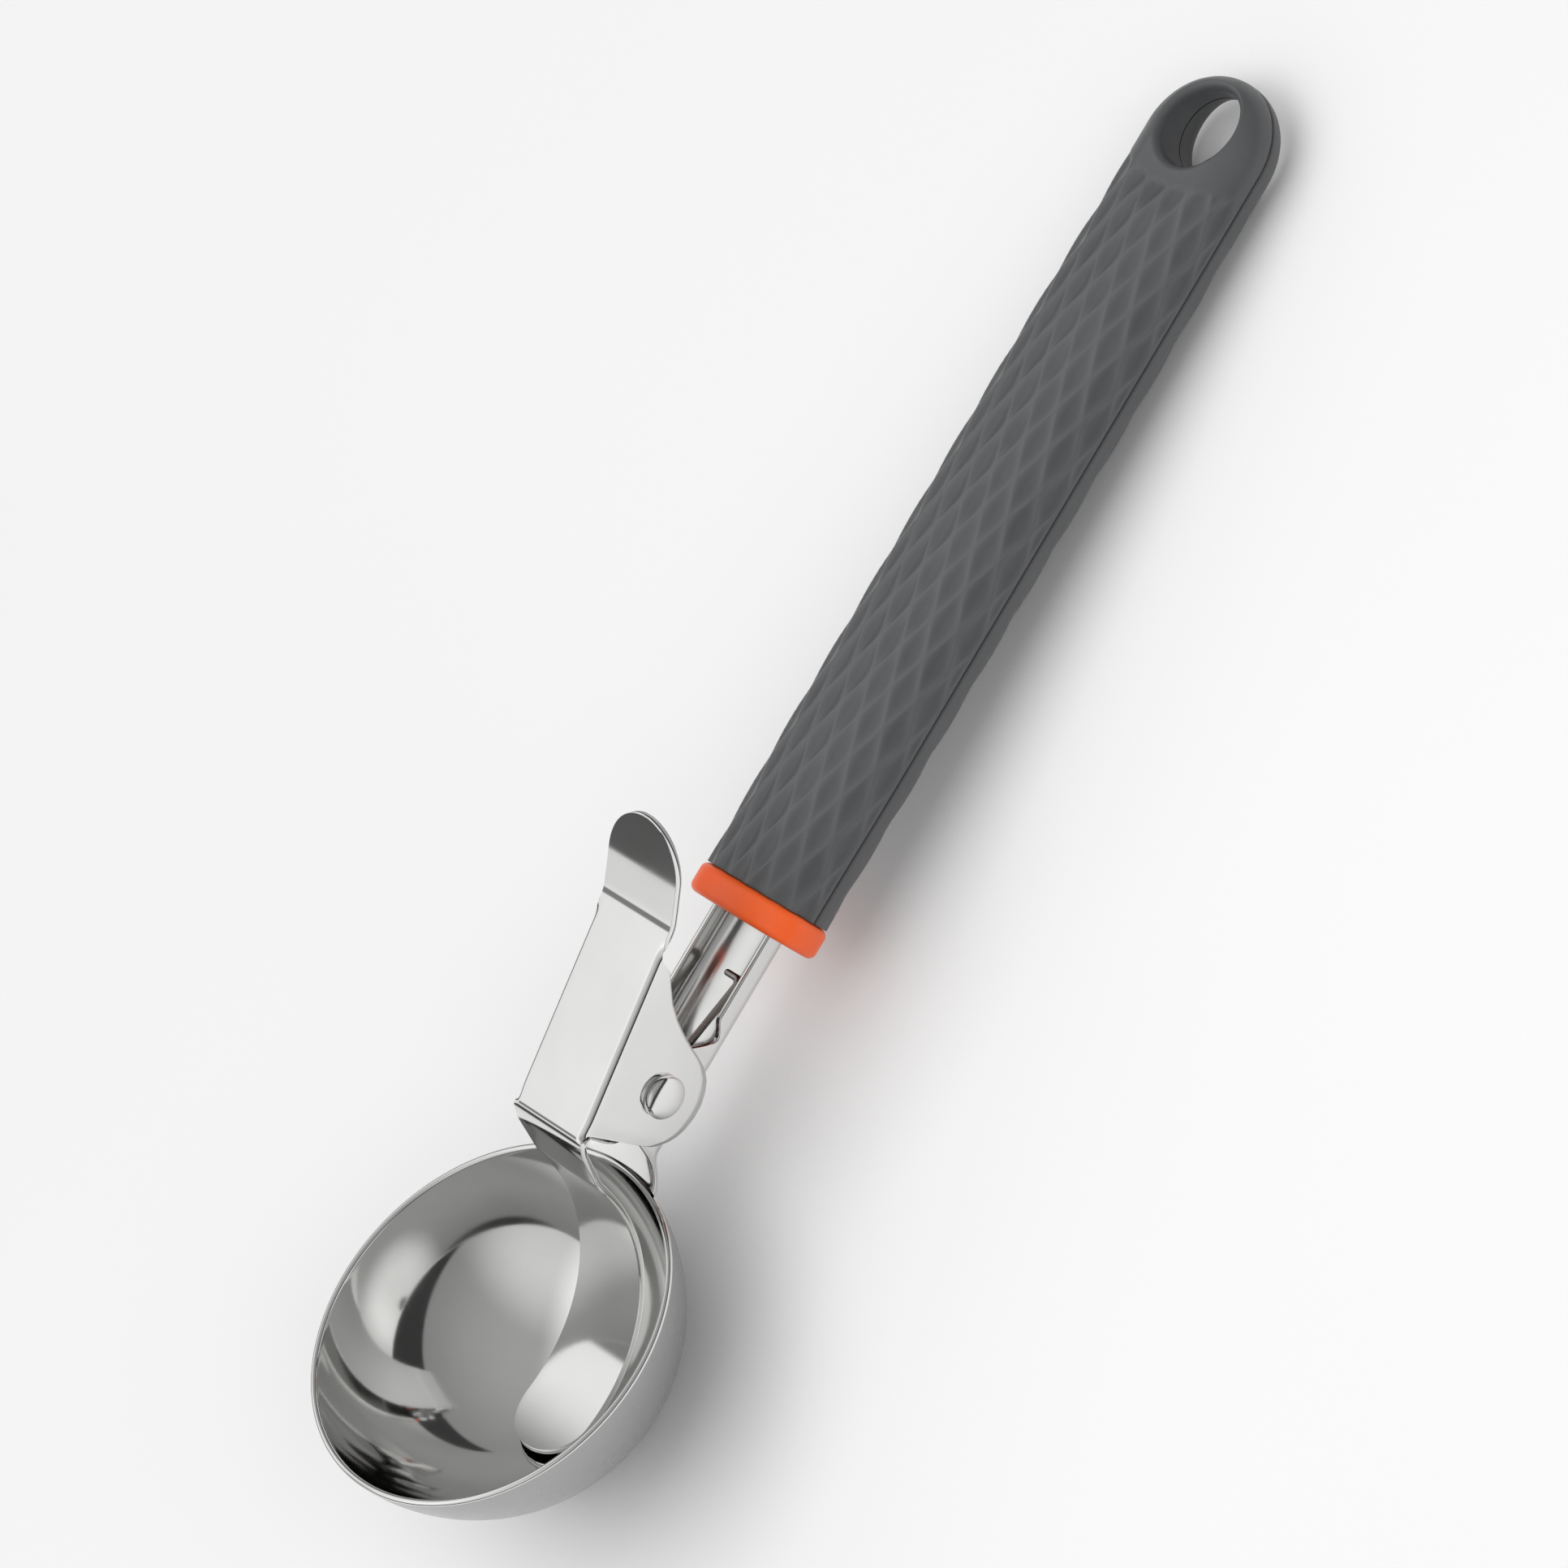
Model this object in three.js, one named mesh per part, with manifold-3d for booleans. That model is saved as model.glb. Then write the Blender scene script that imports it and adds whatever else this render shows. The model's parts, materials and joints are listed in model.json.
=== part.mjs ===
// A trigger ice cream scoop: a pressed steel bowl on a rolled steel shank, a thumb lever on a rivet whose
// tongue runs down into the bowl, a torsion spring round the rivet, a collar and a two-shell grip.
// Millimetres. The scoop frame has its x axis along the shank from bowl to tail, y across and z up,
// with the shank's axis on y = z = 0 and x = 0 at the middle of the bowl's rim.
import * as THREE from "three";
import { mergeVertices } from "three/addons/utils/BufferGeometryUtils.js";
import Module from "manifold-3d";

const wasm = await Module();
wasm.setup();

const { degToRad, lerp, smoothstep } = THREE.MathUtils;

// Clearances
const SEAT_GAP = 0.3; // between pieces that touch on the real scoop
const PIVOT_GAP = 0.25; // round the rivet, in the lever and in the shank
const FLANGE_GAP = 0.3; // between the shank's cheeks and the lever's flanges

// Bowl: a spherical cap with a rounded rim
const BOWL_RIM_RADIUS = 28;
const BOWL_DEPTH = 24.8;
const BOWL_WALL = 1.0;
const BOWL_TILT = degToRad(12.2); // the rim leans towards the handle
const BOWL_RISE = 4.2; // rim's middle above the shank's axis

// Shank: a flattened tube, slotted on top and opened into two cheeks that carry the rivet
const SHANK_HALF_WIDTH = 6.2;
const SHANK_HALF_HEIGHT = 3.4;
const SHANK_WALL = 1.0;
const CHEEK_ROUND = 4.6; // cheek round the rivet
const CHEEK_CREST = 0.95; // cheek's top above the rivet, and the next four lengths from it, in cheek rounds
const CHEEK_CREST_HALF = 0.3; // half length of the cheek's top
const CHEEK_FLANK = 1.2; // where the cheek's flank is level with the rivet
const CHEEK_FOOT = 2.2; // where the cheek's rear flank ends
const SLOT_START = 2.8; // where the slot's edges have their full height
const SLOT_EDGE = 2.1; // height of the slot's edges above the tube's axis
const MOUTH_EDGE = 2.7; // height of the slot's edges where they run under the collar
const MOUTH_LENGTH = 5; // length over which the slot's edges roll in towards the collar
const SEAM_SHARE = 0.98; // the tube's seam, as a share of its half height
const TANG_LENGTH = 52; // tube inside the grip

// Rivet
const RIVET_RADIUS = 1.9;
const RIVET_HEAD_RADIUS = 3.1;
const RIVET_HEAD_HEIGHT = 1.4;
const RIVET_RIM_SHARE = 0.3; // straight rim of the head, as a share of its height
const PIVOT_REACH = 10.7; // rivet beyond the near edge of the bowl
const PIVOT_RISE = 5.4; // rivet above the shank's axis

// Thumb lever: one stamping, with its plate, flanges, thumb tab and tongue
const SHEET = 1.0;
const PLATE_SLOPE = degToRad(10.9);
const PLATE_LENGTH = 31;
const PLATE_LIFT = 10.7; // plate's top face from the rivet's axis, square to the plate
const PLATE_FRONT = 9.6; // plate's front edge ahead of the rivet, along the plate
const FOLD_RADIUS = 1.9;
const LEAST_INNER_FOLD = 0.3; // least radius inside a fold
const FLANGE_ROUND = 7.5; // flange's radius round the rivet
const FLANGE_ROUND_END = degToRad(350); // where that round runs out towards the tab
const FLANGE_WAIST = 1.2; // how far the flange's rear edge swings out behind its round
const FLANGE_FRONT_INSET = 2.2; // flange's front edge behind the plate's front edge
const FLANGE_REAR_INSET = 2.6; // flange's rear edge ahead of the plate's rear edge
const TAB_LENGTH = 14.3;
const TAB_ANGLE = degToRad(32);
const TAB_BEND_RADIUS = 2.2;
const TAB_CURL = degToRad(8); // the tab's outer half is turned up a little more
const TAB_CURL_RADIUS = 30;
const TONGUE_WIDTH = 13.2;
const TONGUE_GAP = 2.2; // tongue's curve is tighter than the bowl's inside by this much
const TONGUE_FORWARD = 3.6; // curve's centre ahead of the bowl's centre
const TONGUE_RAISE = 1.2; // curve's centre above the bowl's centre
const TONGUE_START = degToRad(9); // where the front face runs into the curve, below the horizontal
const TONGUE_PAST_BOTTOM = degToRad(25); // how far the tongue runs past the lowest point of its curve
const TONGUE_BEND_RADIUS = 12;
const FRONT_BEND_RADIUS = 2.4;

// Torsion spring
const WIRE_RADIUS = 0.5;
const COIL_RADIUS = 2.75; // to the wire's middle
const COIL_PITCH = 1.5;
const COIL_WHOLE_TURNS = 2; // besides the part turn between the two legs
const COIL_START_Y = 0.85; // where the lower leg leaves the coil
const LOWER_LEG_REACH = 18.4;
const LOWER_LEG_Y = -2.6; // the lower leg runs along the shank's floor here
const UPPER_LEG_REACH = 15.5;
const HOOK_LENGTH = 3.3; // the lower leg's end, bent across the shank
const HOOK_SHARES = [1, 0.6, 0.2]; // points on the hook, as shares of its length
const LOWER_LEG_SHARES = [
  [0.04, 0], // shares of the way along the lower leg, and across from its line to the coil's start
  [0.3, 0],
  [0.6, 0],
  [0.8, 0.35],
];
const UPPER_LEG_SHARES = [0.25, 0.5, 0.75, 1];
const COIL_POINTS_A_TURN = 12;

// Collar
const COLLAR_GAP_FROM_PIVOT = 25.5;
const COLLAR_LENGTH = 4.4;
const COLLAR_PROUD = 0.45; // collar outside the grip's end
const COLLAR_ROUND = 1.1;

// Grip: two shells that meet on the middle plane
const GRIP_LENGTH = 126.5;
const GRIP_END_HALF_WIDTH = 10.4; // at the collar
const GRIP_HALF_WIDTH = 10.7;
const GRIP_HALF_HEIGHT = 6.8;
const GRIP_SWELL = 24; // length over which the grip widens behind the collar
const TAIL_HALF_HEIGHT = 5.9;
const TAIL_TAPER = 34; // length over which the grip thins towards its tail
const TAIL_EDGE = 1.6; // height of the tail's rounded edge
const GRIP_SQUARENESS = 2.4; // exponent of the section's superellipse
const EYE_INSET = 8.5; // hanging hole's middle from the tail's end
const EYE_RADIUS = 5.3;
const LAND_WIDTH = 2.7; // flat land round the hanging hole
const LAND_HEIGHT = 5.3; // land above the middle plane
const PEG_RADIUS = 2;
const PEG_LENGTH = 3;
const PEG_SPACING = 26;
const PEG_FROM_TANG = 14;

// Facet counts
const RIM_SEGMENTS = 48;
const BOWL_RINGS = 11;
const SECTION_POINTS = 32;
const PIN_SEGMENTS = 24;
const WIRE_SIDES = 6;
const WIRE_STEPS_A_TURN = 7.5;
const GAP_SAMPLES = 400;
const BEND_STEP = degToRad(9);

// Places worked out from the sizes above
const bowlSphere = (BOWL_RIM_RADIUS ** 2 + BOWL_DEPTH ** 2) / (2 * BOWL_DEPTH);
const bowlInner = bowlSphere - BOWL_WALL;
const sphereAboveRim = bowlSphere - BOWL_DEPTH;
const tongueRadius = bowlInner - TONGUE_GAP;
const bowlAxis = new THREE.Vector2(Math.sin(BOWL_TILT), Math.cos(BOWL_TILT));
const sphereCentre = new THREE.Vector2(0, BOWL_RISE).addScaledVector(bowlAxis, sphereAboveRim);
const nearRimX = BOWL_RIM_RADIUS * Math.cos(BOWL_TILT);
const pivot = new THREE.Vector2(nearRimX + PIVOT_REACH, PIVOT_RISE);
const collarX = pivot.x + COLLAR_GAP_FROM_PIVOT;
const gripX = collarX + COLLAR_LENGTH + SEAT_GAP;
const tailX = gripX + GRIP_LENGTH;
const tangX = gripX + TANG_LENGTH;
const eyeX = tailX - EYE_INSET;
const tailRound = GRIP_HALF_WIDTH;
const flangeInner = SHANK_HALF_WIDTH + FLANGE_GAP;
const flangeOuter = flangeInner + SHEET;
const plateWidth = 2 * flangeOuter;
const shankBore = { halfWidth: SHANK_HALF_WIDTH - SHANK_WALL, halfHeight: SHANK_HALF_HEIGHT - SHANK_WALL };
const shankSeat = { halfWidth: SHANK_HALF_WIDTH + SEAT_GAP, halfHeight: SHANK_HALF_HEIGHT + SEAT_GAP };

// Solids

function solidOf(geometry) {
  const bare = new THREE.BufferGeometry().setAttribute("position", geometry.getAttribute("position"));
  if (geometry.index) bare.setIndex(geometry.index);
  const merged = mergeVertices(bare, 1e-4);
  const mesh = new wasm.Mesh({
    numProp: 3,
    vertProperties: merged.attributes.position.array,
    triVerts: new Uint32Array(merged.index.array),
  });
  return new wasm.Manifold(mesh);
}

function geometryOf(solid) {
  const { numProp, vertProperties, triVerts } = solid.getMesh();
  const count = vertProperties.length / numProp;
  const positions = new Float32Array(count * 3);
  for (let i = 0; i < count; i++) {
    positions.set(vertProperties.subarray(i * numProp, i * numProp + 3), i * 3);
  }
  return new THREE.BufferGeometry()
    .setAttribute("position", new THREE.BufferAttribute(positions, 3))
    .setIndex(new THREE.BufferAttribute(new Uint32Array(triVerts), 1));
}

// A solid through closed rings of equal length that follow each other along x.
// Each ring runs anticlockwise as seen from the tail.
function loft(rings) {
  const size = rings[0].length;
  const positions = rings.flat().flatMap((p) => [p.x, p.y, p.z]);
  const faces = [];
  for (let r = 0; r + 1 < rings.length; r++) {
    for (let i = 0; i < size; i++) {
      const a = r * size + i;
      const b = r * size + ((i + 1) % size);
      faces.push(a, b, b + size, a, b + size, a + size);
    }
  }
  const cap = (ring) => THREE.ShapeUtils.triangulateShape(ring.map((p) => new THREE.Vector2(p.y, p.z)), []);
  const last = (rings.length - 1) * size;
  for (const [a, b, c] of cap(rings[0])) faces.push(a, c, b);
  for (const [a, b, c] of cap(rings.at(-1))) faces.push(last + a, last + b, last + c);
  return new THREE.BufferGeometry()
    .setAttribute("position", new THREE.Float32BufferAttribute(positions, 3))
    .setIndex(faces);
}

// An outline in the x-z plane, extruded evenly to both sides across y
function acrossY(shape, width, curveSegments = 12) {
  return new THREE.ExtrudeGeometry(shape, { depth: width, bevelEnabled: false, curveSegments, steps: 1 })
    .translate(0, 0, -width / 2)
    .rotateX(Math.PI / 2);
}

// An outline in the x-y plane, extruded upwards from a height
function upwards(shape, from, to, curveSegments = 16) {
  return new THREE.ExtrudeGeometry(shape, { depth: to - from, bevelEnabled: false, curveSegments, steps: 1 })
    .translate(0, 0, from);
}

function pinAcrossY(radius, length, at) {
  return new THREE.CylinderGeometry(radius, radius, length, PIN_SEGMENTS).translate(at.x, 0, at.y);
}

// An oval bar along the shank's axis
function barAlongX({ halfWidth, halfHeight }, fromX, toX) {
  return new THREE.CylinderGeometry(1, 1, toX - fromX, SECTION_POINTS)
    .scale(halfWidth, 1, halfHeight)
    .rotateZ(-Math.PI / 2)
    .translate((fromX + toX) / 2, 0, 0);
}

// Corners of a bent line, each rounded to its own radius
function roundedLine(corners) {
  const points = [corners[0].at];
  for (let i = 1; i + 1 < corners.length; i++) {
    const { at, radius } = corners[i];
    const before = corners[i - 1].at.clone().sub(at).normalize();
    const after = corners[i + 1].at.clone().sub(at).normalize();
    const half = Math.acos(THREE.MathUtils.clamp(before.dot(after), -1, 1)) / 2;
    const setback = radius / Math.tan(half);
    const centre = before.clone().add(after).normalize().multiplyScalar(radius / Math.sin(half)).add(at);
    const from = before.multiplyScalar(setback).add(at).sub(centre);
    const to = after.multiplyScalar(setback).add(at).sub(centre);
    const turn = Math.atan2(from.x * to.y - from.y * to.x, from.dot(to));
    const steps = Math.max(2, Math.ceil(Math.abs(turn) / BEND_STEP));
    for (let k = 0; k <= steps; k++) {
      points.push(from.clone().rotateAround(new THREE.Vector2(), (turn * k) / steps).add(centre));
    }
  }
  points.push(corners.at(-1).at);
  return points;
}

// The edge view of a bent sheet whose middle line is given
function sheetOutline(line, thickness) {
  const sides = line.map((_, i) => {
    const along = line[Math.min(i + 1, line.length - 1)].clone().sub(line[Math.max(i - 1, 0)]).normalize();
    return new THREE.Vector2(-along.y, along.x).multiplyScalar(thickness / 2);
  });
  const left = line.map((p, i) => p.clone().add(sides[i]));
  const right = line.map((p, i) => p.clone().sub(sides[i])).reverse();
  return new THREE.Shape([...left, ...right]);
}

// A value along x, eased between knots [x, value]
function eased(knots, x) {
  const next = knots.findIndex(([at]) => x < at);
  if (next === 0) return knots[0][1];
  if (next < 0) return knots.at(-1)[1];
  const [fromX, from] = knots[next - 1];
  const [toX, to] = knots[next];
  return from + (to - from) * smoothstep(x, fromX, toX);
}

// Bowl

function bowlGeometry() {
  const arc = (radius, fromAngle, toAngle) =>
    Array.from({ length: BOWL_RINGS + 1 }, (_, i) => {
      const angle = fromAngle + ((toAngle - fromAngle) * i) / BOWL_RINGS;
      return new THREE.Vector2(radius * Math.sin(angle), sphereAboveRim - radius * Math.cos(angle));
    });
  const rimRound = BOWL_WALL / 2;
  const rimAngle = Math.acos((sphereAboveRim + rimRound) / bowlSphere);
  const middle = bowlSphere - rimRound;
  const rimCentre = new THREE.Vector2(middle * Math.sin(rimAngle), sphereAboveRim - middle * Math.cos(rimAngle));
  const rim = [45, 90, 135].map((turn) => {
    const angle = degToRad(turn) + rimAngle - Math.PI / 2;
    return new THREE.Vector2(rimRound * Math.cos(angle), rimRound * Math.sin(angle)).add(rimCentre);
  });
  const profile = [...arc(bowlSphere, 0, rimAngle), ...rim, ...arc(bowlInner, rimAngle, 0)];
  profile[0].x = 0;
  profile.at(-1).x = 0;
  return new THREE.LatheGeometry(profile, RIM_SEGMENTS).rotateX(Math.PI / 2);
}

// Shank

// Height of the sheet's upper edge along the shank: it climbs from the bowl round the rivet,
// dips into the slot and rises again under the collar.
function shankTop(x) {
  return eased(
    [
      [nearRimX, 0],
      [pivot.x - CHEEK_FLANK * CHEEK_ROUND, pivot.y],
      [pivot.x - CHEEK_CREST_HALF * CHEEK_ROUND, pivot.y + CHEEK_CREST * CHEEK_ROUND],
      [pivot.x + CHEEK_CREST_HALF * CHEEK_ROUND, pivot.y + CHEEK_CREST * CHEEK_ROUND],
      [pivot.x + CHEEK_FLANK * CHEEK_ROUND, pivot.y],
      [pivot.x + CHEEK_FOOT * CHEEK_ROUND, 0],
      [pivot.x + SLOT_START * CHEEK_ROUND, SLOT_EDGE],
      [collarX - MOUTH_LENGTH, SLOT_EDGE],
      [collarX, MOUTH_EDGE],
    ],
    x,
  );
}

// One section of the sheet as a closed loop: a half oval below the axis and a wall above it on each side.
// Towards the collar the walls roll in, and behind it only a narrow seam is left between their edges.
function shankRing(x) {
  const quarter = SECTION_POINTS / 4;
  const wallSteps = 4;
  const roll = smoothstep(x, collarX - MOUTH_LENGTH, collarX - SEAT_GAP);
  const closing = smoothstep(x, collarX, collarX + COLLAR_LENGTH);
  const side = ({ halfWidth, halfHeight }) => {
    const points = [];
    for (let i = 0; i <= quarter; i++) {
      const angle = (i / quarter) * (Math.PI / 2);
      points.push(new THREE.Vector2(halfWidth * Math.sin(angle), -halfHeight * Math.cos(angle)));
    }
    const top = lerp(Math.max(shankTop(x), SHANK_WALL / 10), SEAM_SHARE * halfHeight, closing);
    const topAngle = Math.asin(Math.min(top / halfHeight, SEAM_SHARE));
    for (let i = 1; i <= wallSteps; i++) {
      const share = i / wallSteps;
      const upright = new THREE.Vector2(halfWidth, top * share);
      const rolled = new THREE.Vector2(Math.cos(topAngle * share), Math.sin(topAngle * share));
      points.push(upright.lerp(rolled.multiply(new THREE.Vector2(halfWidth, halfHeight)), roll));
    }
    return points;
  };
  const outer = side({ halfWidth: SHANK_HALF_WIDTH, halfHeight: SHANK_HALF_HEIGHT });
  const inner = side(shankBore);
  const mirrored = (points) => points.slice(1).reverse().map((p) => new THREE.Vector2(-p.x, p.y));
  const loop = [...mirrored(outer), ...outer, ...[...mirrored(inner), ...inner].reverse()];
  return loop.map((p) => new THREE.Vector3(x, p.x, p.y));
}

function shankGeometry() {
  const stations = 30;
  const fromX = nearRimX - 2 * SHANK_WALL - 2 * SEAT_GAP;
  const toX = collarX + COLLAR_LENGTH;
  const xs = Array.from({ length: stations + 1 }, (_, i) => fromX + ((toX - fromX) * i) / stations);
  const sheet = solidOf(loft([...xs, tangX].map(shankRing)));
  const ball = new THREE.SphereGeometry(bowlSphere + SEAT_GAP, RIM_SEGMENTS, RIM_SEGMENTS / 2)
    .rotateX(Math.PI / 2)
    .translate(sphereCentre.x, 0, sphereCentre.y);
  const rivetHole = pinAcrossY(RIVET_RADIUS + PIVOT_GAP, 4 * SHANK_HALF_WIDTH, pivot);
  return geometryOf(sheet.subtract(solidOf(ball)).subtract(solidOf(rivetHole)));
}

// Rivet: a shaft with a domed head on each side

function rivetGeometry() {
  const face = flangeOuter + PIVOT_GAP;
  const dome = Array.from({ length: 5 }, (_, i) => {
    const share = (i + 1) / 5;
    const radius = RIVET_HEAD_RADIUS * Math.cos((share * Math.PI) / 2);
    const lift = RIVET_HEAD_HEIGHT * lerp(RIVET_RIM_SHARE, 1, Math.sin((share * Math.PI) / 2));
    return new THREE.Vector2(radius, face + lift);
  });
  const half = [
    new THREE.Vector2(RIVET_RADIUS, face),
    new THREE.Vector2(RIVET_HEAD_RADIUS, face),
    new THREE.Vector2(RIVET_HEAD_RADIUS, face + RIVET_RIM_SHARE * RIVET_HEAD_HEIGHT),
    ...dome,
  ];
  half.at(-1).x = 0;
  const below = half.map((p) => new THREE.Vector2(p.x, -p.y)).reverse();
  return new THREE.LatheGeometry([...below, ...half], PIN_SEGMENTS);
}

// Thumb lever, in a frame whose origin is the rivet

const plateAlong = new THREE.Vector2(Math.cos(PLATE_SLOPE), Math.sin(PLATE_SLOPE));
const plateUp = new THREE.Vector2(-plateAlong.y, plateAlong.x);

// A point on the plate, by its distance behind the rivet along the plate and above the rivet's axis
function onPlate(behind, above) {
  return plateAlong.clone().multiplyScalar(behind).addScaledVector(plateUp, above);
}

const plateRear = PLATE_LENGTH - PLATE_FRONT;
const plateMiddle = PLATE_LIFT - SHEET / 2;

// The plate and its two flanges: a folded channel, trimmed to the flanges' outline
function channelSolid() {
  const inner = Math.max(FOLD_RADIUS - SHEET, LEAST_INNER_FOLD);
  const depth = PLATE_LIFT + FLANGE_ROUND;
  const section = new THREE.Shape();
  section.moveTo(-flangeOuter, -depth);
  section.lineTo(-flangeInner, -depth);
  section.lineTo(-flangeInner, -SHEET - inner);
  section.quadraticCurveTo(-flangeInner, -SHEET, -flangeInner + inner, -SHEET);
  section.lineTo(flangeInner - inner, -SHEET);
  section.quadraticCurveTo(flangeInner, -SHEET, flangeInner, -SHEET - inner);
  section.lineTo(flangeInner, -depth);
  section.lineTo(flangeOuter, -depth);
  section.lineTo(flangeOuter, -FOLD_RADIUS);
  section.absarc(flangeOuter - FOLD_RADIUS, -FOLD_RADIUS, FOLD_RADIUS, 0, Math.PI / 2, false);
  section.lineTo(-flangeOuter + FOLD_RADIUS, 0);
  section.absarc(-flangeOuter + FOLD_RADIUS, -FOLD_RADIUS, FOLD_RADIUS, Math.PI / 2, Math.PI, false);
  section.lineTo(-flangeOuter, -depth);
  const channel = new THREE.ExtrudeGeometry(section, {
    depth: PLATE_LENGTH,
    bevelEnabled: false,
    curveSegments: 5,
    steps: 1,
  })
    .rotateX(Math.PI / 2)
    .rotateZ(Math.PI / 2)
    .translate(-PLATE_FRONT, 0, PLATE_LIFT)
    .rotateY(-PLATE_SLOPE);

  const frontTop = onPlate(-PLATE_FRONT - SHEET, PLATE_LIFT + SHEET);
  const frontFold = onPlate(-PLATE_FRONT - SHEET, PLATE_LIFT - SHEET);
  const frontEdge = onPlate(-PLATE_FRONT + FLANGE_FRONT_INSET, PLATE_LIFT - FOLD_RADIUS - SHEET);
  const rearEdge = onPlate(plateRear - FLANGE_REAR_INSET, PLATE_LIFT - FOLD_RADIUS);
  const rearFold = onPlate(plateRear + SHEET, PLATE_LIFT - SHEET);
  const rearTop = onPlate(plateRear + SHEET, PLATE_LIFT + SHEET);
  const outline = new THREE.Shape();
  outline.moveTo(frontTop.x, frontTop.y);
  outline.lineTo(frontFold.x, frontFold.y);
  outline.lineTo(frontEdge.x, frontEdge.y);
  outline.lineTo(-FLANGE_ROUND, 0);
  outline.absarc(0, 0, FLANGE_ROUND, Math.PI, FLANGE_ROUND_END, false);
  const waist = new THREE.Vector2(FLANGE_ROUND + FLANGE_WAIST, FLANGE_ROUND / 2);
  outline.quadraticCurveTo(waist.x, waist.y, rearEdge.x, rearEdge.y);
  outline.lineTo(rearFold.x, rearFold.y);
  outline.lineTo(rearTop.x, rearTop.y);
  return solidOf(channel).intersect(solidOf(acrossY(outline, 2 * plateWidth)));
}

// The thumb tab, bent up from the plate's rear edge, with a round and slightly curled end
function tabSolid() {
  const half = plateWidth / 2;
  const along = (angle) => new THREE.Vector2(Math.cos(angle), Math.sin(angle)).multiplyScalar(TAB_LENGTH / 2);
  const bend = onPlate(plateRear, plateMiddle);
  const knee = along(TAB_ANGLE).add(bend);
  const tip = along(TAB_ANGLE + TAB_CURL).add(knee);
  const line = roundedLine([
    { at: onPlate(plateRear - 2 * TAB_BEND_RADIUS, plateMiddle) },
    { at: bend, radius: TAB_BEND_RADIUS },
    { at: knee, radius: TAB_CURL_RADIUS },
    { at: tip },
  ]);
  const strip = solidOf(acrossY(sheetOutline(line, SHEET), plateWidth));
  const plan = new THREE.Shape();
  plan.moveTo(-3 * TAB_LENGTH, -half);
  plan.absarc(-half, 0, half, -Math.PI / 2, Math.PI / 2, false);
  plan.lineTo(-3 * TAB_LENGTH, half);
  const trim = upwards(plan, -3 * TAB_LENGTH, 3 * TAB_LENGTH)
    .rotateY(-TAB_ANGLE - TAB_CURL / 2)
    .translate(tip.x, 0, tip.y);
  return strip.intersect(solidOf(trim));
}

// The tongue: down from the plate's front edge and round inside the bowl, with a round end
function tongueSolid() {
  const centre = sphereCentre.clone().sub(pivot).add(new THREE.Vector2(-TONGUE_FORWARD, TONGUE_RAISE));
  const onCurve = (below) =>
    new THREE.Vector2(Math.cos(below), -Math.sin(below)).multiplyScalar(tongueRadius).add(centre);
  const curveEnd = Math.PI / 2 + TONGUE_PAST_BOTTOM;
  const steps = 22;
  const curve = Array.from({ length: steps + 1 }, (_, i) =>
    onCurve(TONGUE_START + ((curveEnd - TONGUE_START) * i) / steps),
  );
  const settled = curve.findIndex((p) => p.distanceTo(curve[0]) > TONGUE_BEND_RADIUS / 2);
  const line = roundedLine([
    { at: onPlate(-PLATE_FRONT + 2 * FRONT_BEND_RADIUS, plateMiddle) },
    { at: onPlate(-PLATE_FRONT, plateMiddle), radius: FRONT_BEND_RADIUS },
    { at: curve[0], radius: TONGUE_BEND_RADIUS },
    { at: curve[settled] },
  ]);
  const wholeLine = [...line, ...curve.slice(settled + 1)];
  const strip = solidOf(acrossY(sheetOutline(wholeLine, SHEET), TONGUE_WIDTH));
  const half = TONGUE_WIDTH / 2;
  const end = curve.at(-1);
  const plan = new THREE.Shape();
  plan.moveTo(end.x + half, half);
  plan.absarc(end.x + half, 0, half, Math.PI / 2, (3 * Math.PI) / 2, false);
  plan.lineTo(plateRear, -half);
  plan.lineTo(plateRear, half);
  return strip.intersect(solidOf(upwards(plan, -3 * BOWL_DEPTH, 3 * BOWL_DEPTH)));
}

function leverGeometry() {
  const rivetHole = pinAcrossY(RIVET_RADIUS + PIVOT_GAP, 2 * plateWidth, new THREE.Vector2());
  return geometryOf(channelSolid().add(tabSolid()).add(tongueSolid()).subtract(solidOf(rivetHole)));
}

// Torsion spring, in a frame whose origin is the rivet. The lower leg lies on the shank's floor with a hook
// across it, and the upper leg pushes the lever's plate up.

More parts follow.
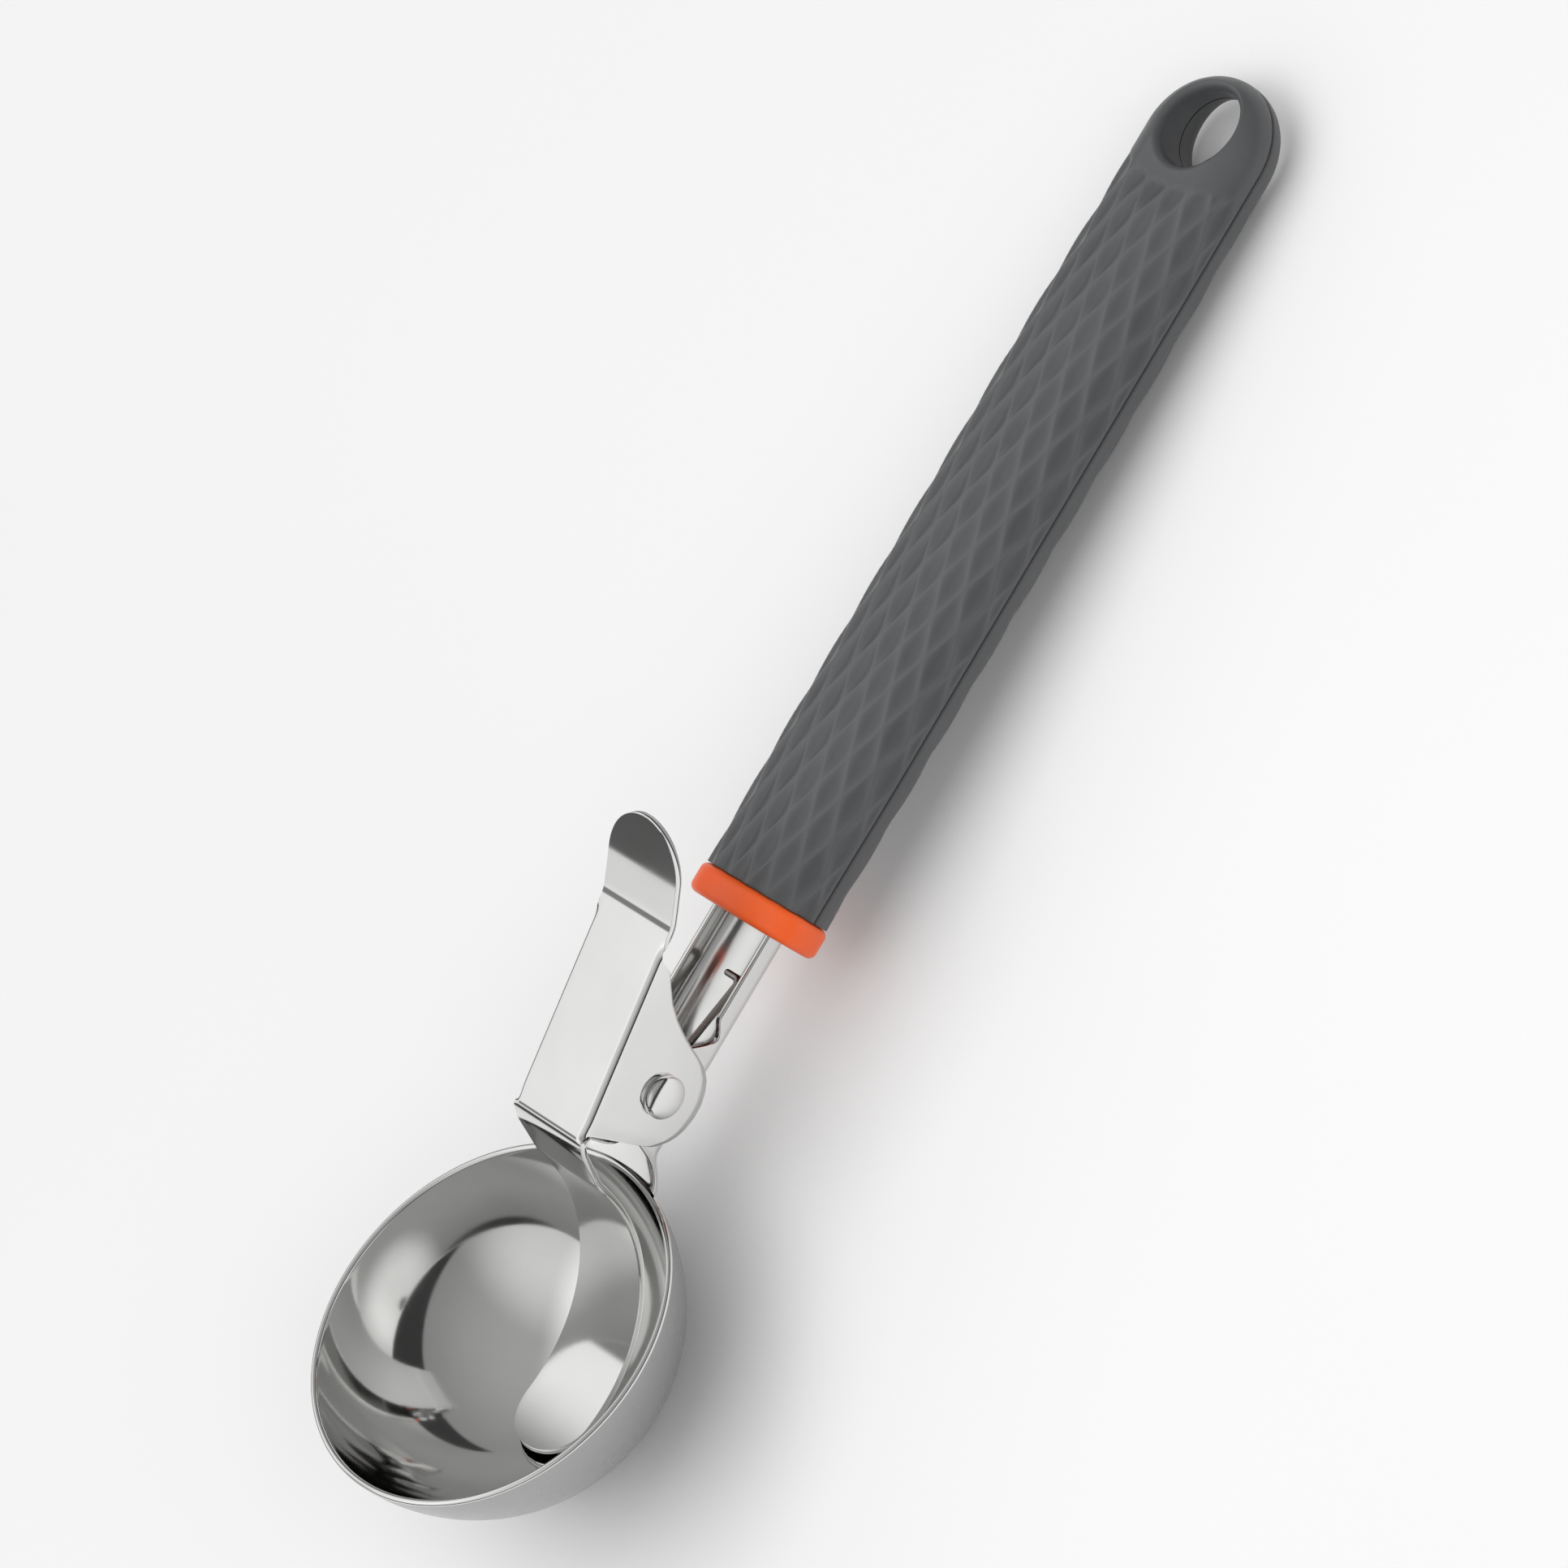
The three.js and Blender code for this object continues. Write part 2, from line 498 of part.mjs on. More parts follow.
function springPath() {
  const floor = -shankBore.halfHeight + WIRE_RADIUS + SEAT_GAP - pivot.y;
  const sideRise = shankBore.halfHeight * (1 - Math.sqrt(1 - (LOWER_LEG_Y / shankBore.halfWidth) ** 2));
  const lowerEnd = new THREE.Vector2(LOWER_LEG_REACH, floor + sideRise);
  const plateEnd = onPlate(UPPER_LEG_REACH, PLATE_LIFT - SHEET - SEAT_GAP - WIRE_RADIUS);
  const lowerAngle = lowerEnd.angle() + Math.asin(COIL_RADIUS / lowerEnd.length());
  const upperAngle = plateEnd.angle() - Math.asin(COIL_RADIUS / plateEnd.length());
  const coilFrom = lowerAngle - Math.PI / 2;
  const partTurn = THREE.MathUtils.euclideanModulo(coilFrom - (upperAngle + Math.PI / 2), 2 * Math.PI);
  const sweep = partTurn + COIL_WHOLE_TURNS * 2 * Math.PI;
  const coilEndY = COIL_START_Y + (COIL_PITCH * sweep) / (2 * Math.PI);
  const onCoil = (angle) => new THREE.Vector2(Math.cos(angle), Math.sin(angle)).multiplyScalar(COIL_RADIUS);
  const at = (p, y) => new THREE.Vector3(p.x, y, p.y);
  const lowerLeg = (share) => lowerEnd.clone().lerp(onCoil(coilFrom), share);
  const points = [
    ...HOOK_SHARES.map((share) => at(lowerEnd, LOWER_LEG_Y + share * HOOK_LENGTH)),
    ...LOWER_LEG_SHARES.map(([along, across]) => at(lowerLeg(along), lerp(LOWER_LEG_Y, COIL_START_Y, across))),
  ];
  const coilSteps = Math.ceil((COIL_POINTS_A_TURN * sweep) / (2 * Math.PI));
  for (let i = 0; i <= coilSteps; i++) {
    const share = i / coilSteps;
    const y = lerp(COIL_START_Y, coilEndY, share);
    points.push(at(onCoil(coilFrom - sweep * share), y));
  }
  const coilEnd = onCoil(coilFrom - sweep);
  for (const share of UPPER_LEG_SHARES) {
    points.push(at(coilEnd.clone().lerp(plateEnd, share), coilEndY));
  }
  return new THREE.CatmullRomCurve3(points, false, "centripetal");
}

// The least gap between stretches of the wire that lie more than half a turn apart
function leastGap(path) {
  const points = path.getSpacedPoints(GAP_SAMPLES);
  const spacing = path.getLength() / GAP_SAMPLES;
  const apart = Math.ceil((Math.PI * COIL_RADIUS) / spacing);
  let least = Infinity;
  points.forEach((p, i) => {
    for (let j = i + apart; j < points.length; j++) {
      least = Math.min(least, p.distanceTo(points[j]));
    }
  });
  return least - 2 * WIRE_RADIUS;
}

function springGeometry() {
  const path = springPath();
  console.log("spring: least gap between turns " + leastGap(path).toFixed(2) + " mm");
  const section = new THREE.Shape(
    Array.from({ length: WIRE_SIDES }, (_, i) => {
      const angle = (2 * Math.PI * i) / WIRE_SIDES;
      return new THREE.Vector2(WIRE_RADIUS * Math.cos(angle), WIRE_RADIUS * Math.sin(angle));
    }),
  );
  const steps = Math.ceil((path.getLength() * WIRE_STEPS_A_TURN) / (2 * Math.PI * COIL_RADIUS));
  return new THREE.ExtrudeGeometry(section, { extrudePath: path, steps, bevelEnabled: false });
}

// Collar and grip

// A superellipse section across x
function ovalRing(x, halfWidth, halfHeight) {
  return Array.from({ length: SECTION_POINTS }, (_, i) => {
    const angle = (2 * Math.PI * i) / SECTION_POINTS;
    const power = (value) => Math.sign(value) * Math.abs(value) ** (2 / GRIP_SQUARENESS);
    return new THREE.Vector3(x, halfWidth * power(Math.cos(angle)), halfHeight * power(Math.sin(angle)));
  });
}

function collarGeometry() {
  const ease = [0, 0.12, 0.5, 1];
  const rings = [
    ...ease.map((share) => [collarX + COLLAR_ROUND * share, share]),
    ...ease.toReversed().map((share) => [collarX + COLLAR_LENGTH - COLLAR_ROUND * share, share]),
  ].map(([x, share]) => {
    const inset = COLLAR_ROUND * (1 - Math.sqrt(1 - (1 - share) ** 2));
    const proud = COLLAR_PROUD - inset;
    return ovalRing(x, GRIP_END_HALF_WIDTH + proud, GRIP_HALF_HEIGHT + proud);
  });
  const bore = barAlongX(shankSeat, collarX - COLLAR_LENGTH, gripX + COLLAR_LENGTH);
  return geometryOf(solidOf(loft(rings)).subtract(solidOf(bore)));
}

// Whole grip body: an oval bar that thins towards a rounded tail
function gripBody() {
  const roundFrom = tailX - tailRound;
  const straightSteps = 14;
  const straight = Array.from(
    { length: straightSteps + 1 },
    (_, i) => gripX + ((roundFrom - gripX) * i) / straightSteps,
  );
  const rounded = [10, 20, 30, 40, 50, 60, 70, 79, 86].map(
    (turn) => roundFrom + tailRound * Math.sin(degToRad(turn)),
  );
  const width = [
    [gripX, GRIP_END_HALF_WIDTH],
    [gripX + GRIP_SWELL, GRIP_HALF_WIDTH],
  ];
  const height = [
    [roundFrom - TAIL_TAPER, GRIP_HALF_HEIGHT],
    [roundFrom, TAIL_HALF_HEIGHT],
  ];
  const rings = [...straight, ...rounded].map((x) => {
    const past = Math.max((x - roundFrom) / tailRound, 0);
    const end = Math.sqrt(1 - past ** 2);
    const halfHeight = TAIL_EDGE + (eased(height, x) - TAIL_EDGE) * Math.sqrt(end);
    return ovalRing(x, eased(width, x) * end, halfHeight);
  });
  const tall = 2 * GRIP_HALF_HEIGHT;
  const disc = (radius, from, to) =>
    solidOf(upwards(new THREE.Shape().absarc(eyeX, 0, radius, 0, 2 * Math.PI, false), from, to));
  return solidOf(loft(rings))
    .subtract(disc(EYE_RADIUS, -tall, tall))
    .subtract(disc(EYE_RADIUS + LAND_WIDTH, LAND_HEIGHT, tall))
    .subtract(disc(EYE_RADIUS + LAND_WIDTH, -tall, -LAND_HEIGHT))
    .subtract(solidOf(barAlongX(shankSeat, gripX - COLLAR_LENGTH, tangX + SEAT_GAP)));
}

// Half of space above or below the shells' parting plane, over the grip's length
function halfSpace(side) {
  const reach = 3 * GRIP_HALF_WIDTH;
  return new THREE.BoxGeometry(2 * GRIP_LENGTH, reach, reach)
    .translate(gripX + GRIP_LENGTH / 2, 0, side * (reach / 2 + SEAT_GAP / 2));
}

// Pegs that locate the shells on each other, behind the tang
function pegAt(index, radius, from, to) {
  const x = tangX + PEG_FROM_TANG + index * PEG_SPACING;
  return upwards(new THREE.Shape().absarc(x, 0, radius, 0, 2 * Math.PI, false), from, to, 10);
}

function gripShells() {
  const body = gripBody();
  let upper = body.intersect(solidOf(halfSpace(1)));
  let lower = body.intersect(solidOf(halfSpace(-1)));
  for (const index of [0, 1]) {
    upper = upper.subtract(solidOf(pegAt(index, PEG_RADIUS + SEAT_GAP, -SEAT_GAP, PEG_LENGTH + SEAT_GAP)));
    lower = lower.add(solidOf(pegAt(index, PEG_RADIUS, -PEG_LENGTH, PEG_LENGTH)));
  }
  return [geometryOf(upper), geometryOf(lower)];
}

// Materials

const polishedSteel = new THREE.MeshStandardMaterial({ color: 0xc8c8c6, metalness: 1, roughness: 0.1 });
const springSteel = new THREE.MeshStandardMaterial({ color: 0x9a9a98, metalness: 1, roughness: 0.25 });
const greyPlastic = new THREE.MeshStandardMaterial({ color: 0x56575a, metalness: 0, roughness: 0.55 });
const orangePlastic = new THREE.MeshStandardMaterial({ color: 0xff5a22, metalness: 0, roughness: 0.45 });

// Assembly

function piece(name, geometry, material, x = 0, z = 0) {
  const mesh = new THREE.Mesh(geometry, material);
  mesh.name = name;
  mesh.position.set(x, 0, z);
  return mesh;
}

const [upperShell, lowerShell] = gripShells();
const bowl = piece("bowl", bowlGeometry(), polishedSteel, 0, BOWL_RISE);
bowl.rotation.y = BOWL_TILT;

const scoop = new THREE.Group();
scoop.add(
  bowl,
  piece("shank", shankGeometry(), polishedSteel),
  piece("pivot_rivet", rivetGeometry(), polishedSteel, pivot.x, pivot.y),
  piece("thumb_lever", leverGeometry(), polishedSteel, pivot.x, pivot.y),
  piece("torsion_spring", springGeometry(), springSteel, pivot.x, pivot.y),
  piece("collar", collarGeometry(), orangePlastic),
  piece("grip_upper_shell", upperShell, greyPlastic),
  piece("grip_lower_shell", lowerShell, greyPlastic),
);

// The scoop lies as it does on a table, on its bowl and its grip: it turns about y until the first point
// of the lower shell is level with the bowl's lowest point.
function lyingAngle() {
  const points = lowerShell.getAttribute("position");
  let least = Math.PI / 2;
  for (let i = 0; i < points.count; i++) {
    const reach = points.getX(i) - sphereCentre.x;
    const drop = sphereCentre.y - points.getZ(i);
    const span = Math.hypot(reach, drop);
    if (reach > bowlSphere) least = Math.min(least, Math.asin(bowlSphere / span) - Math.atan2(drop, reach));
  }
  return least;
}

scoop.rotation.y = lyingAngle();

// The origin is under the middle of the scoop, on the table
const object = new THREE.Group();
object.add(scoop);
object.updateMatrixWorld(true);
const box = new THREE.Box3().setFromObject(object, true);
const middle = box.getCenter(new THREE.Vector3());
scoop.position.set(-middle.x, -middle.y, -box.min.z);

export default object;
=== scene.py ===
"""A trigger ice cream scoop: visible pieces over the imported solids, their finishes, a floor and soft light.

Sizes are in millimetres in the scoop's own frame, whose origin is the middle of the rivet: x runs back along
the shank to the tail, y across and z up. place() turns them into metres in the row frame.
"""
import json

import bpy
import numpy as np
from mathutils import Matrix, Vector


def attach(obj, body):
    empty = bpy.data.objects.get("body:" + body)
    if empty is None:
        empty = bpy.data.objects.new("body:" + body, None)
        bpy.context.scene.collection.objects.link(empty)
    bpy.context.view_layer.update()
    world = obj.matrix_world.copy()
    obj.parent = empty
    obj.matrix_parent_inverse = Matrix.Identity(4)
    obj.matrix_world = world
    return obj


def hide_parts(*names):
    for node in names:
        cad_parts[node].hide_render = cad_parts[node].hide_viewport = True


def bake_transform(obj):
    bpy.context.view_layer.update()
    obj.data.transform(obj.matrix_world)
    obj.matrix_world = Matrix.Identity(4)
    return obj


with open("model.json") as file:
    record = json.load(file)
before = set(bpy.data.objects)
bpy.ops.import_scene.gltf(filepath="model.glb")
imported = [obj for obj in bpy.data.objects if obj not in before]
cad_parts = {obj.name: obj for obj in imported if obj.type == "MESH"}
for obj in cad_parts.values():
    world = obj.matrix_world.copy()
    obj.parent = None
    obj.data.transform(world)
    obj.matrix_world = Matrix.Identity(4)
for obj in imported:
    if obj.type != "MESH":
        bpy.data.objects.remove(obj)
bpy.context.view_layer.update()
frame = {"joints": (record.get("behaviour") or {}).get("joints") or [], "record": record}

RIVET = np.array(frame["joints"][0]["pos_m"])
UP = np.array(frame["record"]["mounts"][0]["axis"])
LIE_SIN, LIE_COS = UP[0] / np.hypot(UP[0], UP[2]), UP[2] / np.hypot(UP[0], UP[2])

AXIS_Z = -5.4
BOWL_RADIUS, BOWL_WALL = 28.206, 1.0
BOWL_TILT = np.radians(12.2)
RIM_MIDDLE = np.array([-38.07, -1.2])
RIM_BELOW = 3.406
SHANK_HALF = np.array([6.2, 3.4])
SHANK_WALL = 1.0
SHEET = 1.0
PLATE_SLOPE = np.radians(10.9)
PLATE_LIFT = 10.7
PLATE_REAR, TAB_LENGTH = 21.4, 14.3
FLANGE_Y = 7.5
COLLAR_FROM, COLLAR_TO = 25.5, 29.9
GRIP_FROM, GRIP_TO = 30.2, 156.7
TAIL_RADIUS = 10.7
EYE_X, EYE_RADIUS = 148.2, 6.0
LAND_RADIUS, LAND_HEIGHT = 8.0, 5.3
GRIP_HALF = np.array([10.7, 6.8])
GRIP_FRONT_HALF, TAIL_HALF_HEIGHT = 10.4, 5.9
GRIP_POWER = 2.4
DIMPLE_LONG, DIMPLE_WIDE, DIMPLE_DEPTH = 10.8, 4.0, 0.4


def turn(points):
    """Points or directions of the scoop's frame turned about y by the angle at which the scoop lies."""
    x, y, z = np.moveaxis(np.asarray(points, float), -1, 0)
    return np.stack([x * LIE_COS + z * LIE_SIN, y, z * LIE_COS - x * LIE_SIN], -1)


def place(points):
    """Points of the scoop's frame, in millimetres, as metres in the row frame."""
    return turn(points) / 1000 + RIVET


def eased(x, knots):
    """Values at x on a chain of S-shaped steps: between neighbouring knots (place, value) the value follows
    the smooth step three t squared minus two t cubed."""
    at, value = np.array(knots, float).T
    i = np.clip(np.searchsorted(at, x) - 1, 0, len(at) - 2)
    t = np.clip((x - at[i]) / (at[i + 1] - at[i]), 0, 1)
    return value[i] + (value[i + 1] - value[i]) * t * t * (3 - 2 * t)


def grid_faces(rows, columns, close_rows=False, close_columns=False, start=0):
    """Corner numbers of the quads of a grid of vertices numbered row by row from start."""
    r = np.arange(rows if close_rows else rows - 1)[:, None]
    c = np.arange(columns if close_columns else columns - 1)[None, :]
    r2, c2 = (r + 1) % rows, (c + 1) % columns
    quads = np.stack([r * columns + c, r2 * columns + c, r2 * columns + c2, r * columns + c2], -1)
    return quads.reshape(-1, 4) + start


def piece(name, points, quads, body, nodes, material):
    """A smooth-shaded mesh object of quads that rides a body and stands for the named solids. A fourth value
    at each point, where there is one, goes into a point attribute that sets painted light and gloss there,
    from nought to one."""
    points = points.reshape(-1, points.shape[-1])
    painted_light_and_gloss = points[:, 3:].ravel()
    points = place(points[:, :3])
    mesh = bpy.data.meshes.new(name)
    mesh.vertices.add(len(points))
    mesh.vertices.foreach_set("co", points.astype(np.float32).ravel())
    mesh.loops.add(quads.size)
    mesh.loops.foreach_set("vertex_index", quads.astype(np.int32).ravel())
    mesh.polygons.add(len(quads))
    mesh.polygons.foreach_set("loop_start", np.arange(0, quads.size, 4, dtype=np.int32))
    mesh.polygons.foreach_set("use_smooth", np.ones(len(quads), bool))
    mesh.update(calc_edges=True)
    if painted_light_and_gloss.size:
        mesh.attributes.new("painted_light_and_gloss", "FLOAT", "POINT").data.foreach_set("value", painted_light_and_gloss.astype(np.float32))
    mesh.materials.append(material)
    obj = bpy.data.objects.new(name, mesh)
    bpy.context.scene.collection.objects.link(obj)
    if body:
        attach(obj, body)
    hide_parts(*nodes)
    return obj


def joined(parts):
    """Several (points, quads) grids as one, with points that fall together made one point."""
    points = np.concatenate([p.reshape(-1, p.shape[-1]) for p, _ in parts])
    starts = np.cumsum([0] + [p.size // p.shape[-1] for p, _ in parts])
    quads = np.concatenate([q + s for (_, q), s in zip(parts, starts)])
    _, first, back = np.unique(np.round(points[:, :3], 4), axis=0, return_index=True, return_inverse=True)
    return points[first], back.reshape(-1)[quads]


# Finishes


def node_tree(name):
    material = bpy.data.materials.new(name)
    material.use_nodes = True
    tree = material.node_tree
    shader = tree.nodes["Principled BSDF"]
    coordinates = tree.nodes.new("ShaderNodeTexCoord")
    return material, tree, shader, coordinates.outputs["Object"]


def noise(tree, coordinates, scale, detail=3.0, stretch=(1, 1, 1)):
    mapping = tree.nodes.new("ShaderNodeMapping")
    mapping.inputs["Scale"].default_value = stretch
    tree.links.new(coordinates, mapping.inputs["Vector"])
    texture = tree.nodes.new("ShaderNodeTexNoise")
    texture.inputs["Scale"].default_value = scale
    texture.inputs["Detail"].default_value = detail
    tree.links.new(mapping.outputs["Vector"], texture.inputs["Vector"])
    return texture.outputs["Fac"]


def ranged(tree, value, low, high, from_low=0.3, from_high=0.7):
    node = tree.nodes.new("ShaderNodeMapRange")
    node.inputs["From Min"].default_value = from_low
    node.inputs["From Max"].default_value = from_high
    node.inputs["To Min"].default_value = low
    node.inputs["To Max"].default_value = high
    tree.links.new(value, node.inputs["Value"])
    return node.outputs["Result"]


def two_tone(tree, value, dark, light):
    node = tree.nodes.new("ShaderNodeMix")
    node.data_type = "RGBA"
    node.inputs["A"].default_value = (*dark, 1)
    node.inputs["B"].default_value = (*light, 1)
    tree.links.new(ranged(tree, value, 0, 1), node.inputs["Factor"])
    return node.outputs["Result"]


def bump(tree, shader, height, strength, distance):
    node = tree.nodes.new("ShaderNodeBump")
    node.inputs["Strength"].default_value = strength
    node.inputs["Distance"].default_value = distance
    tree.links.new(height, node.inputs["Height"])
    tree.links.new(node.outputs["Normal"], shader.inputs["Normal"])


def painted_light_and_gloss_of(tree, low, high):
    """The surface's painted light and gloss value, its point attribute taken from one at low to nought at
    high.
    """
    node = tree.nodes.new("ShaderNodeAttribute")
    node.attribute_name = "painted_light_and_gloss"
    return ranged(tree, node.outputs["Fac"], 1, 0, low, high)


def mixed(tree, factor, first, second):
    """A colour between two colours, of which the first is a socket."""
    node = tree.nodes.new("ShaderNodeMix")
    node.data_type = "RGBA"
    node.inputs["B"].default_value = (*second, 1)
    tree.links.new(first, node.inputs["A"])
    tree.links.new(factor, node.inputs["Factor"])
    return node.outputs["Result"]


def shifted(tree, factor, amount, value):
    """A value with amount times the factor added."""
    node = tree.nodes.new("ShaderNodeMath")
    node.operation = "MULTIPLY_ADD"
    node.inputs[1].default_value = amount
    tree.links.new(factor, node.inputs[0])
    tree.links.new(value, node.inputs[2])
    return node.outputs["Value"]


def steel(name, dark, light, rough_low, rough_high, stretch, grain):
    """Polished steel: mirror-like, with faint cloudy wear in its roughness and fine polishing lines along
    stretch."""
    material, tree, shader, at = node_tree(name)
    shader.inputs["Metallic"].default_value = 1
    tree.links.new(two_tone(tree, noise(tree, at, 70), dark, light), shader.inputs["Base Color"])
    tree.links.new(ranged(tree, noise(tree, at, 160, 5), rough_low, rough_high), shader.inputs["Roughness"])
    bump(tree, shader, noise(tree, at, grain, 2, stretch), 0.04, 0.00002)
    return material


def plastic(name, dark, light, rough_low, rough_high, grain_strength):
    """Moulded plastic: a faint cloudiness in its colour and sheen and a fine spark-eroded grain."""
    material, tree, shader, at = node_tree(name)
    tree.links.new(two_tone(tree, noise(tree, at, 120, 4), dark, light), shader.inputs["Base Color"])
    tree.links.new(ranged(tree, noise(tree, at, 400, 4), rough_low, rough_high), shader.inputs["Roughness"])
    bump(tree, shader, noise(tree, at, 3500, 2), grain_strength, 0.00005)
    return material


def bowl_steel():
    """Steel polished inside the bowl and left satin outside it, where its colour is darkened as painted
    shade, a darker reflection painted into the steel.
    """
    material, tree, shader, at = node_tree("bowl steel")
    outside = painted_light_and_gloss_of(tree, 1, 0)
    shader.inputs["Metallic"].default_value = 1
    cloud = two_tone(tree, noise(tree, at, 70), (0.74, 0.74, 0.73), (0.8, 0.8, 0.79))
    # Painted shade: on the outer face the colour falls to a dark grey that stands in for darker reflections.
    tree.links.new(mixed(tree, outside, cloud, (0.4, 0.4, 0.4)), shader.inputs["Base Color"])
    wear = ranged(tree, noise(tree, at, 160, 5), 0.05, 0.09)
    tree.links.new(shifted(tree, outside, 0.2, wear), shader.inputs["Roughness"])
    bump(tree, shader, noise(tree, at, 900, 2), 0.04, 0.00002)
    return material


def grip_plastic():
    """Grey moulded plastic: the ridges between the dimples are glossier than the dimples and carry a painted
    highlight, a paler colour."""
    material, tree, shader, at = node_tree("grey plastic")
    ridge_highlight_and_gloss = painted_light_and_gloss_of(tree, 0, 0.8)
    cloud = two_tone(tree, noise(tree, at, 120, 4), (0.068, 0.07, 0.073), (0.08, 0.082, 0.085))
    # Painted highlight: the colour is lifted towards a paler grey on the ridges.
    tree.links.new(mixed(tree, ridge_highlight_and_gloss, cloud, (0.1, 0.102, 0.105)), shader.inputs["Base Color"])
    sheen = ranged(tree, noise(tree, at, 400, 4), 0.4, 0.48)
    tree.links.new(shifted(tree, ridge_highlight_and_gloss, -0.08, sheen), shader.inputs["Roughness"])
    bump(tree, shader, noise(tree, at, 3500, 2), 0.12, 0.00005)
    return material


BOWL_STEEL = bowl_steel()
SHANK_STEEL = steel("shank steel", (0.7, 0.7, 0.69), (0.78, 0.78, 0.77), 0.1, 0.18, (0.04, 1, 1), 5000)
LEVER_STEEL = steel("lever steel", (0.74, 0.74, 0.73), (0.8, 0.8, 0.79), 0.06, 0.1, (0.05, 1, 1), 4000)
RIVET_STEEL = steel("rivet steel", (0.72, 0.72, 0.71), (0.8, 0.8, 0.79), 0.1, 0.16, (1, 1, 1), 2500)
WIRE_STEEL = steel("wire steel", (0.27, 0.25, 0.235), (0.35, 0.33, 0.31), 0.22, 0.32, (1, 1, 1), 4000)
GREY = grip_plastic()
ORANGE = plastic("orange plastic", (0.94, 0.115, 0.016), (0.99, 0.135, 0.022), 0.38, 0.48, 0.08)


# Bowl


def bowl():
    """A profile turned about the bowl's axis: an outer arc from the lowest point to the rim, a half circle
    over the rim as wide as the wall, and an inner arc back."""
    rim_angle = np.arccos((RIM_BELOW + BOWL_WALL / 2) / BOWL_RADIUS)
    out = np.linspace(0.0006, rim_angle, 100)
    over = np.linspace(0, np.pi, 16)[1:-1]
    middle = BOWL_RADIUS - BOWL_WALL / 2
    radius = np.concatenate(
        [
            np.full(100, BOWL_RADIUS),
            middle + BOWL_WALL / 2 * np.cos(over),
            np.full(100, BOWL_RADIUS - BOWL_WALL),
        ]
    )
    angle = np.concatenate([out, rim_angle + BOWL_WALL / 2 * np.sin(over) / middle, out[::-1]])
    across = radius * np.sin(angle)
    along = RIM_BELOW - radius * np.cos(angle)
    around = np.linspace(0, 2 * np.pi, 320, endpoint=False)[:, None]
    u, v, h = across * np.cos(around), across * np.sin(around), along + 0 * around
    sin, cos = np.sin(BOWL_TILT), np.cos(BOWL_TILT)
    x = RIM_MIDDLE[0] + u * cos + h * sin
    z = RIM_MIDDLE[1] - u * sin + h * cos
    # The fourth value marks the outer face, which the bowl steel darkens as painted shade and makes rougher.
    outside = np.concatenate([np.ones(100), np.zeros(len(angle) - 100)]) + 0 * around
    quads = grid_faces(320, len(angle), close_rows=True)
    points = np.stack([x, v, z, outside], -1)
    piece("bowl_form", points, quads, "frame", ["bowl"], BOWL_STEEL)


# Shank


def shank_top(x):
    """Height of the sheet's upper edge above the tube's axis: it climbs round the rivet, dips into the slot
    and rises inside the collar."""
    cheek = 4.6
    high = -AXIS_Z + 0.95 * cheek
    return eased(
        x,
        [
            (-10.7, 0.1),
            (-1.2 * cheek, -AXIS_Z),
            (-0.3 * cheek, high),
            (0.3 * cheek, high),
            (1.2 * cheek, -AXIS_Z),
            (2.2 * cheek, 0.1),
            (2.8 * cheek, 1.7),
            (COLLAR_FROM + 0.8, 1.7),
            (COLLAR_TO, 3.2),
        ],
    )


def shank():
    """A sheet section carried along x: a half oval below the axis with a wall on each side above it, out
    along the outer face and back along the inner face, with a half round over each edge. Inside the collar
    the walls roll in to a tube. The front end spreads and lies on the bowl."""
    front, spread, dip = -13.3, 2.8, 1.2
    x = np.linspace(front, 34, 300)[:, None]
    top = shank_top(x)
    roll = eased(x, [(COLLAR_FROM + 0.8, 0), (COLLAR_TO - 0.3, 1)])
    flare = eased(x, [(front, 1), (-7.2, 0)])
    wall = np.linspace(0.5, 1, 18)[1:]
    t = np.concatenate([-wall[::-1], np.linspace(-0.5, 0.5, 49), wall])

    def face(inset):
        half_width, half_height = SHANK_HALF - inset
        angle = np.clip(t, -0.5, 0.5) * np.pi
        share = np.clip(np.abs(t) - 0.5, 0, 0.5) * 2
        height = np.minimum(top, half_height * np.where(roll > 0.5, 0.97, 99))
        reach = np.arcsin(np.clip(height / half_height, 0, 0.97))
        upright = half_width * np.sin(angle) + 0 * x
        rolled = half_width * np.sin(angle) * np.cos(reach * share)
        y = upright + (rolled - upright) * roll + spread * flare * np.sin(angle)
        lift = height * share + (half_height * np.sin(reach * share) - height * share) * roll
        return y, -half_height * np.cos(angle) + lift - dip * flare * np.sin(angle) ** 2

    outer_y, outer_z = face(0)
    inner_y, inner_z = face(SHANK_WALL)
    over = np.linspace(0, np.pi, 8)[1:-1]
    bulge = 0.3 * np.sin(over)

    def edge(a_y, a_z, b_y, b_z):
        share = (1 - np.cos(over)) / 2
        return a_y + (b_y - a_y) * share, a_z + (b_z - a_z) * share + bulge

    right = edge(outer_y[:, -1:], outer_z[:, -1:], inner_y[:, -1:], inner_z[:, -1:])
    left = edge(inner_y[:, :1], inner_z[:, :1], outer_y[:, :1], outer_z[:, :1])
    y = np.concatenate([outer_y, right[0], inner_y[:, ::-1], left[0]], 1)
    z = np.concatenate([outer_z, right[1], inner_z[:, ::-1], left[1]], 1) + AXIS_Z
    centre_x = RIM_MIDDLE[0] + RIM_BELOW * np.sin(BOWL_TILT)
    centre_z = RIM_MIDDLE[1] + RIM_BELOW * np.cos(BOWL_TILT)
    on_bowl = centre_x + np.sqrt((BOWL_RADIUS + 0.05) ** 2 - y**2 - (z - centre_z) ** 2)
    until = -6.5
    share = np.clip((x - x[0]) / (until - x[0]), 0, 1)
    x = np.where(share < 1, on_bowl + (until - on_bowl) * share, x)
    quads = grid_faces(*y.shape, close_columns=True)
    piece("shank_form", np.stack([x, y, z], -1), quads, "frame", ["shank"], SHANK_STEEL)


# Thumb lever


